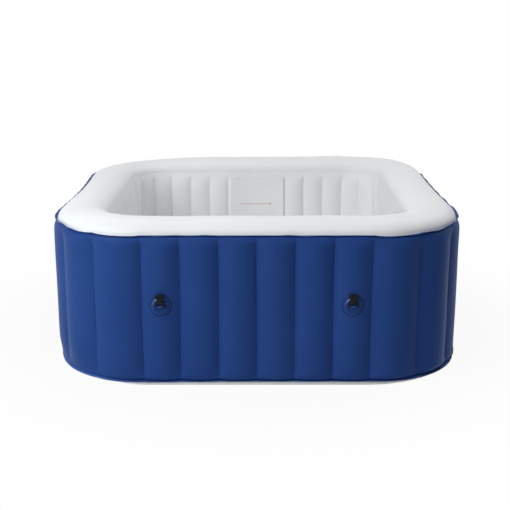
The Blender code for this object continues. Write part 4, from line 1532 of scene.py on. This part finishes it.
@dataclass
class InflationValve:
    """Inflation valve body, its screw cap, its stem and its spring."""

    finish: "Finishes"
    height: float = 0.370
    bore: float = 0.011
    wall: float = 0.005
    neck: float = 0.014
    inside: float = 0.012
    hole: float = 0.0163
    washer: float = 0.0026
    ledge: float = 0.003
    guide: float = 0.0035
    stem: float = 0.003
    poppet: float = 0.013
    poppet_thick: float = 0.002
    button: float = 0.0085
    button_height: float = 0.009
    button_thick: float = 0.002
    wire: float = 0.0004
    turns: int = 4
    press: float = 0.005

    def build(self) -> None:
        """Model the body, its cap, its stem and its spring."""
        fitting = WallFitting("inflation_valve_body", self.finish.grey, 0.0, self.height, self.bore, self.wall,
                              self.inside, self.neck)
        b, o = self.bore, fitting.outer
        rim = o + fitting.flange
        profile = [(b, self.neck), (b, 0.0), (self.guide, 0.0), (self.guide, -self.ledge), (b, -self.ledge),
                   (b, -self.inside), (o, -self.inside), (o, 0.0), (rim, 0.0), (rim, 0.0028), (rim - 0.004, 0.004),
                   (o, 0.004), (o, self.neck), (b, self.neck)]
        body = turned("inflation_valve_shell", profile, fitting.place, steps=64, edge=0.0003)
        dress(body, self.finish.grey, nodes=["inflation_valve_body"])
        screw_cap("inflation_valve_cap", fitting, self.washer, self.finish.grey)
        self.build_stem(fitting.place)
        self.build_spring()

    def build_stem(self, place: Matrix) -> None:
        """Model the stem with its poppet inside and its dished button outside."""
        seat = -self.inside - 0.0003
        back, top = seat - self.poppet_thick, self.button_height + self.button_thick
        s, p, b = self.stem, self.poppet, self.button
        profile = [(0.0, back), (p - 0.0008, back), (p, back + 0.0005), (p, seat), (s, seat), (s, self.button_height),
                   (b, self.button_height), (b, top - 0.0005), (b - 0.0008, top), (b - 0.0022, top),
                   (b - 0.0040, top - 0.0005), (0.0, top - 0.0007)]
        stem = turned("inflation_valve_plunger", profile, place, steps=48, edge=0.0002)
        dress(stem, self.finish.ivory, "inflation_valve_stem", ["inflation_valve_stem"])

    def build_spring(self) -> None:
        """Wind the spring under the stem's button."""
        low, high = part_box("inflation_valve_spring")
        length = high.y - low.y
        radius = (high.x - low.x) / 2 - self.wire
        free_hands()
        bpy.ops.mesh.primitive_circle_add(
            vertices=12, radius=self.wire, location=(radius, 0.0, 0.0), rotation=(pi / 2, 0.0, 0.0)
        )
        coil = settle(christen("inflation_valve_coil"))
        rise = (length - 2 * self.wire) / self.turns
        modify(coil, "SCREW", axis="Z", screw_offset=rise, iterations=self.turns, steps=32, render_steps=32)
        edit(coil)
        bpy.ops.mesh.fill_holes(sides=0)
        face_outwards(coil)
        settle(coil, along((0.0, low.y + self.wire, self.height), (0, 1, 0)))
        dress(coil, self.finish.steel, nodes=["inflation_valve_spring"])
        keep = (length - self.press) / length
        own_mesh(coil)


@dataclass
class Drain:
    """Drain through the right front corner rib: tube, screw cap and inner plug."""

    plan: TubPlan
    finish: "Finishes"
    height: float = 0.036
    bore: float = 0.014
    wall: float = 0.005
    hole: float = 0.0192
    proud: float = 0.002
    sink: float = 0.0092
    washer: float = 0.0010
    plug_depth: float = 0.012

    @property
    def direction(self) -> Vector:
        """Way out of the tub along the drain."""
        turn = pi / 2 / self.plan.corner_ribs / 2
        return Vector((cos(turn), -sin(turn), 0.0))

    def spot(self, reach: float) -> Vector:
        """Point of the drain's axis at a reach from the corner's centre."""
        return Vector((self.plan.core, -self.plan.core, self.height)) + self.direction * reach

    def build(self) -> None:
        """Model the tube, the cap and the plug."""
        plan = self.plan
        outer_end = plan.outer_radius + plan.outer_sag + self.proud
        inner_end = plan.inner_radius - plan.inner_sag - self.proud
        length = outer_end - inner_end
        o, b = self.bore + self.wall, self.bore
        place = along(self.spot(outer_end), self.direction)
        end = -self.sink
        section = [(b, -length), (o, -length), (o, end), (b, end), (b, -length)]
        tube = turned("drain_tube", section, place, 64, 0.0004)
        dress(tube, self.finish.black, nodes=["drain_valve_body"])
        plug = b - 0.0006
        seat = end + self.washer
        top = seat + 0.0020
        side = b + 0.0014
        hollow, edge = b - 0.0003, side - 0.0006
        section = [(hollow, end), (edge, end), (edge, seat), (hollow, seat), (hollow, end)]
        ring = turned("drain_washer", section, place, 48, 0.0002)
        dress(ring, self.finish.rubber, "drain_seal", ["drain_seal"])
        tail = -self.plug_depth - self.sink
        grip = Grip(20, seat + 0.0003, top - 0.0007, 0.0004)
        profile = [(0.0, tail), (plug, tail), (plug, seat), (side, seat), (side, grip.low), (side, grip.high),
                   (side - 0.0020, top), (0.010, top), (0.009, top - 0.0010), (0.0, top - 0.0010)]
        cap = gripped("drain_cap_shell", profile, grip, place, 0.0002)
        dress(cap, self.finish.black, "drain_cap", ["drain_cap"])
        inner_place = along(self.spot(inner_end), -self.direction)
        knob = [(0.0, -self.plug_depth), (plug, -self.plug_depth), (plug, 0.0003), (o, 0.0003), (o, 0.0022),
                (o - 0.0014, 0.0033), (0.0062, 0.0033), (0.0050, 0.0050), (0.0060, 0.0078), (0.0052, 0.0093),
                (0.0, 0.0093)]
        piece = turned("drain_plug_shell", knob, inner_place, 48, 0.0004)
        dress(piece, self.finish.ivory, "drain_plug", ["drain_plug"])


@dataclass
class StrapAnchor:
    """Cover anchor on a front rib: welded patch, boss with its loop, and a buckle half."""

    word: str
    wall: Object
    finish: "Finishes"
    patch_radius: float = 0.041
    patch_thick: float = 0.0015
    boss_radius: float = 0.030
    boss_proud: float = 0.003
    gap: float = 0.0003
    loop_width: float = 0.021
    loop_bore: float = 0.0036
    loop_wall: float = 0.0012
    stem_height: float = 0.004
    buckle_thick: float = 0.009
    slot_width: float = 0.0225
    slot_top: float = 0.009
    bar_height: float = 0.005
    bar_thick: float = 0.004
    mouth: tuple[float, float, float] = (0.023, 0.0052, 0.017)

    def __post_init__(self) -> None:
        """Read the joint's place off the frame's record."""
        name = f"{self.word}_buckle_hinge"
        joint = next(joint for joint in frame["joints"] if joint["name"] == name)
        self.bar = Vector(joint["pos_m"])

    def wall_depth(self, x: float, z: float) -> float:
        """Depth of the rib's face in front of a place."""
        hit, spot, _, _ = self.wall.ray_cast(Vector((x, -2.0, z)), Vector((0.0, 1.0, 0.0)))
        return spot.y if hit else self.bar.y

    def build(self) -> None:
        """Model the patch, the boss and the buckle."""
        self.build_patch()
        self.build_boss()
        self.build_buckle()

    def build_patch(self) -> Object:
        """Model the round patch, laid on the rib with a welded edge."""
        t, r = self.patch_thick, self.patch_radius
        radii = [0.012, 0.020, 0.026, 0.031, 0.035]
        profile = [(0.0, t), *[(x, t) for x in radii], (r - 0.0042, t), (r - 0.0036, 0.7 * t), (r - 0.0026, 0.62 * t),
                   (r - 0.0012, 0.60 * t), (r, 0.0), *[(x, 0.0) for x in radii[::-1]], (0.0, 0.0)]
        piece = turned(f"{self.word}_patch_disc", profile, Matrix(), 64, 0.0)
        points = read_points(piece)
        # The welded edge is painted darker: painted shade in its groove.
        set_attribute(piece, WELD, 0.85 * bump_step(np.hypot(points[:, 0], points[:, 1]), r - 0.0046, r - 0.0036))
        for point in points:
            x, z = self.bar.x + point[0], self.bar.z + point[1]
            point[:] = (x, self.wall_depth(x, z) - self.gap - point[2], z)
        put_points(piece, points)
        face_outwards(piece)
        return dress(piece, self.finish.patch_blue, nodes=[f"{self.word}_patch"])

    def build_boss(self) -> Object:
        """Model the slightly dished boss and the strap loop on it."""
        r = self.boss_radius
        front = self.bar.y + 0.0009 + self.buckle_thick / 2
        face = 0.0
        back = -self.boss_proud
        profile = [(0.0, back), (0.014, back), (0.022, back), (r, back), (r - 0.0002, -0.0023), (r - 0.0007, -0.0019),
                   (r - 0.0031, -0.0004), (r - 0.0040, face), (r - 0.0056, face), (r - 0.0070, -0.0004),
                   (r - 0.0120, -0.0007), (0.010, -0.0008), (0.0, -0.0008)]
        piece = turned(f"{self.word}_boss", profile, Matrix(), 64, 0.0003)
        points = read_points(piece)
        for point in points:
            x, z = self.bar.x + point[0], self.bar.z + point[1]
            depth = front - point[2]
            if point[2] < back + 0.0002:
                depth = self.wall_depth(x, z) - self.gap - self.patch_thick - self.gap
            point[:] = (x, depth, z)
        put_points(piece, points)
        face_outwards(piece)
        half = self.loop_width / 2
        ring = self.loop_bore + self.loop_wall
        section = [(self.loop_bore, -half), (ring, -half), (ring, half), (self.loop_bore, half),
                   (self.loop_bore, -half)]
        loop = turned("loop", section, along(self.bar, (1, 0, 0)), 32, 0.0003)
        start = self.bar.y + self.loop_bore + self.loop_wall / 2
        stem = block("stem", (self.loop_width, front + 0.0024 - start, self.stem_height),
                     (self.bar.x, (front + 0.0024 + start) / 2, self.bar.z))
        combine(piece, [loop, stem], "UNION")
        off = read_points(piece) - np.array(self.bar)
        on_loop = (np.hypot(off[:, 1], off[:, 2]) < ring + 0.0004) & (np.abs(off[:, 0]) < half + 0.0004)
        on_loop &= off[:, 2] < 0.0
        set_attribute(piece, WELD, np.where(on_loop, 1.0, 0.0))
        reach = np.hypot(off[:, 0], off[:, 2])
        # Gloss on the ridge, faint all round and strongest on its upper left side: painted highlight where the key
        # lamp reflects.
        key_side_sheen = bump_step((off[:, 2] - off[:, 0]) / np.maximum(reach, 0.001), 0.75, 1.35)
        set_attribute(piece, POLISH_AND_SHEEN, bump_step(reach, r - 0.0050, r - 0.0036) * (0.06 + 0.94 * key_side_sheen))
        return dress(piece, self.finish.gloss_blue, nodes=[f"{self.word}_strap_anchor"])

    def build_buckle(self) -> Object:
        """Model the receiving half of a side-release buckle."""
        outline = [(0.0168, -0.0045), (0.0175, -0.0030), (0.0175, 0.0085), (0.0166, 0.0112), (0.0132, 0.0145),
                   (0.0096, 0.0172), (0.0083, 0.0192), (0.0082, 0.0212), (0.0092, 0.0238), (0.0124, 0.0275),
                   (0.0152, 0.0306), (0.0166, 0.0335), (0.0168, 0.0395), (0.0161, 0.0425), (0.0143, 0.0442),
                   (0.0118, 0.0450)]
        free_hands()
        bpy.ops.mesh.primitive_plane_add(size=1.0)
        piece = christen(f"{self.word}_buckle_shell")
        edit(piece)
        (first, low), (second, high) = outline[:2]
        bpy.ops.transform.resize(value=(2 * first, high - low, 1.0))
        bpy.ops.transform.translate(value=(0.0, (low + high) / 2, -self.buckle_thick / 2))
        self.select_above(piece, (low + high) / 2)
        widen(second / first, high)
        for (half, level), (next_half, next_level) in zip(outline[1:], outline[2:]):
            bpy.ops.mesh.extrude_region_move(TRANSFORM_OT_translate={"value": (0.0, next_level - level, 0.0)})
            widen(next_half / half, next_level)
        bpy.ops.mesh.select_all(action="SELECT")
        bpy.ops.mesh.extrude_region_move(TRANSFORM_OT_translate={"value": (0.0, 0.0, self.buckle_thick)})
        face_outwards(piece)
        round_edges(piece, 0.0011, 3, 60.0)
        combine(piece, self.buckle_cutters())
        ribs = [block("rib", (0.019, 0.0011, 0.0012), (0.0, level, self.buckle_thick / 2))
                for level in (0.0340, 0.0365, 0.0390)]
        for rib in ribs:
            round_edges(rib, 0.0004)
        combine(piece, ribs, "UNION")
        round_edges(piece, 0.0002, 1, 60.0)
        settle(piece, Matrix.Translation(self.bar) @ Matrix.Rotation(pi / 2, 4, "X"))
        body = f"{self.word}_buckle"
        return dress(piece, self.finish.black, body, [body])

    def buckle_cutters(self) -> list[Object]:
        """Boxes that cut the strap slot, the bar, the mouth and the side windows."""
        t = self.buckle_thick
        low = self.bar_height / 2
        wide, thick, deep = self.mouth
        boxes = [((self.slot_width, self.slot_top - low, 2 * t), (0.0, (self.slot_top + low) / 2, 0.0)),
                 ((self.slot_width, 0.004, 2 * t), (0.0, -low - 0.002, 0.0))]
        boxes += [((self.slot_width, 2 * self.slot_top, t), (0.0, 0.0, hand * (self.bar_thick + t) / 2))
                  for hand in (1, -1)]
        boxes.append(((wide, deep + 0.004, thick), (0.0, 0.043 - deep + (deep + 0.004) / 2, 0.0)))
        boxes.append(((0.06, 0.007, thick), (0.0, 0.0335, 0.0)))
        return [block("cut", size, centre) for size, centre in boxes]

    @staticmethod
    def select_above(piece: Object, level: float) -> None:
        """Open the buckle's sheet with the points above a level selected."""
        edit(piece)
        bpy.ops.mesh.select_all(action="DESELECT")
        bpy.ops.object.mode_set(mode="OBJECT")
        for point in piece.data.vertices:
            point.select = point.co.y > level
        bpy.ops.object.mode_set(mode="EDIT")


def widen(factor: float, level: float) -> None:
    """Widen the selected edge about the buckle's middle line."""
    bpy.ops.transform.resize(value=(factor, 1.0, 1.0), center_override=(0.0, level, 0.0))


def dress_frame(finish: "Finishes") -> None:
    """Give every solid of the frame that still shows its own finish."""
    finishes = {
        Slot.BLUE: finish.blue, Slot.WHITE: finish.white, Slot.GREY: finish.floor, Slot.WEB: finish.web,
        Slot.BLACK_PLASTIC: finish.black, Slot.GREY_PLASTIC: finish.grey, Slot.WHITE_PLASTIC: finish.ivory,
        Slot.RUBBER: finish.rubber, Slot.STEEL: finish.steel,
    }
    for subpart in frame["record"]["subparts"]:
        piece = frame["nodes"][subpart["node"]]
        if not piece.hide_render:
            piece.data.materials.clear()
            piece.data.materials.append(finishes[Slot(subpart["material_slot"])])


@dataclass(frozen=True)
class Lamp:
    """One soft box, which points at the tub."""

    name: str
    stand: tuple[float, float, float]
    watts: float
    size: tuple[float, float] = (2.4, 2.4)
    target: tuple[float, float, float] = (0.0, 0.0, 0.35)
    tint: Colour = (1.0, 1.0, 1.0)

    def build(self) -> None:
        """Add the lamp to the scene."""
        data = bpy.data.lights.new(self.name, "AREA")
        data.shape = "RECTANGLE"
        data.size, data.size_y = self.size
        data.energy = self.watts
        data.color = self.tint
        lamp = bpy.data.objects.new(self.name, data)
        lamp.location = self.stand
        lamp.rotation_euler = (Vector(self.target) - Vector(self.stand)).to_track_quat("-Z", "Y").to_euler()
        bpy.context.scene.collection.objects.link(lamp)


LAMPS = (
    Lamp("key_left", (-3.14, -2.45, 2.65), 70.0),
    Lamp("key_high", (-2.29, -2.54, 3.43), 36.0),
    Lamp("front_fill", (-1.24, -4.31, 1.38), 26.0),
    Lamp("top_front", (0.00, -1.35, 3.25), 23.0, (2.0, 2.0)),
    Lamp("side_right", (4.26, 1.55, 2.46), 20.0),
    Lamp("top_right", (2.91, 0.51, 3.87), 18.0),
    Lamp("back_right", (2.71, 2.27, 3.89), 48.0),
    Lamp("back_left", (-1.61, 2.78, 4.18), 32.0),
    Lamp("low_left", (-4.45, -1.11, 0.47), 28.0, (2.4, 0.9), (0.0, 0.0, 0.25), (0.50, 0.92, 1.0)),
)


@dataclass
class Studio:
    """Pale floor, soft lamps and the camera at the photograph's angle."""

    lens: float = 68.06
    sensor: float = 36.0
    pitch: float = 75.285
    stand: tuple[float, float, float] = (0.0, -4.0889, 1.3648)
    shift: float = -0.0035
    ambient: float = 0.0
    floor_size: float = 60.0
    floor_level: float = -0.0004
    floor_glow: float = 0.92

    def build(self) -> None:
        """Set the stage."""
        self.make_camera()
        self.make_floor()
        self.make_world()
        for lamp in LAMPS:
            lamp.build()
        bpy.context.scene.view_settings.view_transform = "Standard"

    def make_camera(self) -> None:
        """Add the camera."""
        data = bpy.data.cameras.new("camera")
        data.lens = self.lens
        data.sensor_width = self.sensor
        data.shift_x = self.shift
        camera = bpy.data.objects.new("camera", data)
        camera.location = self.stand
        camera.rotation_euler = (radians(self.pitch), 0.0, 0.0)
        bpy.context.scene.collection.objects.link(camera)
        bpy.context.scene.camera = camera

    def make_floor(self) -> None:
        """Add the white floor, which keeps the tub's shadow."""
        free_hands()
        bpy.ops.mesh.primitive_plane_add(size=self.floor_size, location=(0.0, 0.0, self.floor_level))
        floor = christen("studio_floor")
        bench = ShaderBench(bpy.data.materials.new("studio_white"))
        matt = bench.node("ShaderNodeBsdfDiffuse", {}, {"Color": (0.86, 0.86, 0.86, 1.0)})
        glow = bench.node("ShaderNodeEmission", {}, {"Color": (1.0, 1.0, 1.0, 1.0), "Strength": 1.0})
        away = bench.node("ShaderNodeVectorMath", {"operation": "LENGTH"}, {0: bench.place()}, output="Value")
        share = away.step(0.8, 1.7) * (1.0 - self.floor_glow) + self.floor_glow
        seen = self.background_rays(bench) * share
        mixed = bench.node("ShaderNodeMixShader", {}, {0: seen, 1: matt, 2: glow})
        bench.node("ShaderNodeOutputMaterial", {}, {"Surface": mixed})
        floor.data.materials.append(bench.owner)

    @staticmethod
    def background_rays(bench: ShaderBench) -> Wire:
        """1 for rays that show the background: from the camera, in gloss and through glass."""
        rays = [bench.node("ShaderNodeLightPath", output=f"Is {word} Ray")
                for word in ("Camera", "Glossy", "Transmission")]
        return rays[0].math("MAXIMUM", rays[1]).math("MAXIMUM", rays[2])

    def make_world(self) -> None:
        """Show white behind the tub, which the lamps alone light while ambient is 0."""
        world = bpy.data.worlds.new("studio_world")
        bench = ShaderBench(world)
        light, white = [
            bench.node("ShaderNodeBackground", {}, {"Color": (1.0, 1.0, 1.0, 1.0), "Strength": strength})
            for strength in (self.ambient, 1.0)
        ]
        mixed = bench.node("ShaderNodeMixShader", {}, {0: self.background_rays(bench), 1: light, 2: white})
        bench.node("ShaderNodeOutputWorld", {}, {"Surface": mixed})
        bpy.context.scene.world = world


def main() -> None:
    """Build the tub piece by piece and set the stage."""
    logging.basicConfig(level=logging.INFO, format="%(name)s %(message)s")
    plan = TubPlan.from_frame()
    finish = Finishes()
    ports = (("suction", -0.065), ("return", 0.065))
    port_holes = [(x, WaterPort.height, WaterPort.hole) for _, x in ports]
    outside_holes = port_holes + [(0.0, fitting.height, fitting.hole) for fitting in (AirInlet, InflationValve)]
    drain = Drain(plan, finish)
    outer = RibbedWall(
        plan, finish.blue, Slot.BLUE, "outer_wall", radius=plan.outer_radius, ribs=plan.outer_ribs,
        sag=plan.outer_sag, outward=1.0, top=plan.seam - plan.skin, base=plan.base_seam, top_shoulder=0.055,
        base_shoulder=0.036, top_flange=0.011, base_flange=0.014, crease_fade=0.008, pad=0.010, scalloped=True,
        lip_droop=0.0003, side_fullness=0.82, crease_lean=0.006,
    )
    outer.holes = {
        Side.BACK: back_holes(WallFitting.face, outside_holes),
        Side.RIGHT: [(along(drain.spot(plan.outer_radius), drain.direction), drain.hole)],
    }
    outer.build_all()
    inner = RibbedWall(
        plan, finish.white, Slot.WHITE, "inner_wall", radius=plan.inner_radius, ribs=9, sag=plan.inner_sag,
        outward=-1.0, top=plan.inner_seam, base=plan.floor_top, top_shoulder=0.080, base_shoulder=0.030,
        top_flange=0.010, base_flange=-0.010, crease_fade=0.0045, columns_per_rib=12, pad=0.008, seed=21,
        soft_top=True, fade_drop=0.022,
    )
    inner.holes = {
        Side.BACK: back_holes(0.575, port_holes),
        Side.RIGHT: [(along(drain.spot(plan.inner_radius), drain.direction), drain.hole)],
    }
    inner.build_all()
    rim = TopRim(plan, finish.white)
    rim.build()
    rim.build_bead(finish.bead)
    FloorSheet(plan, finish.floor).build()
    BubbleRing(plan, finish.white, finish.ivory).build()
    outside = WallPanel("connection_panel", finish.blue, Slot.BLUE, True, outside_holes)
    outside.finish(outside.build())
    inside = WallPanel("fitting_panel", finish.panel_white, Slot.WHITE, False, port_holes)
    sheet = inside.build()
    level = LevelPlate(finish.red)
    level.cut_recess(sheet)
    inside.finish(sheet)
    level.build()
    for word, x in ports:
        WaterPort(word, x, finish).build()
    AirInlet(finish).build()
    InflationValve(finish).build()
    drain.build()
    for word in ("left", "right"):
        StrapAnchor(word, outer.pieces[Side.FRONT], finish).build()
    dress_frame(finish)
    Studio().build()


if __name__ == "__main__":
    main()
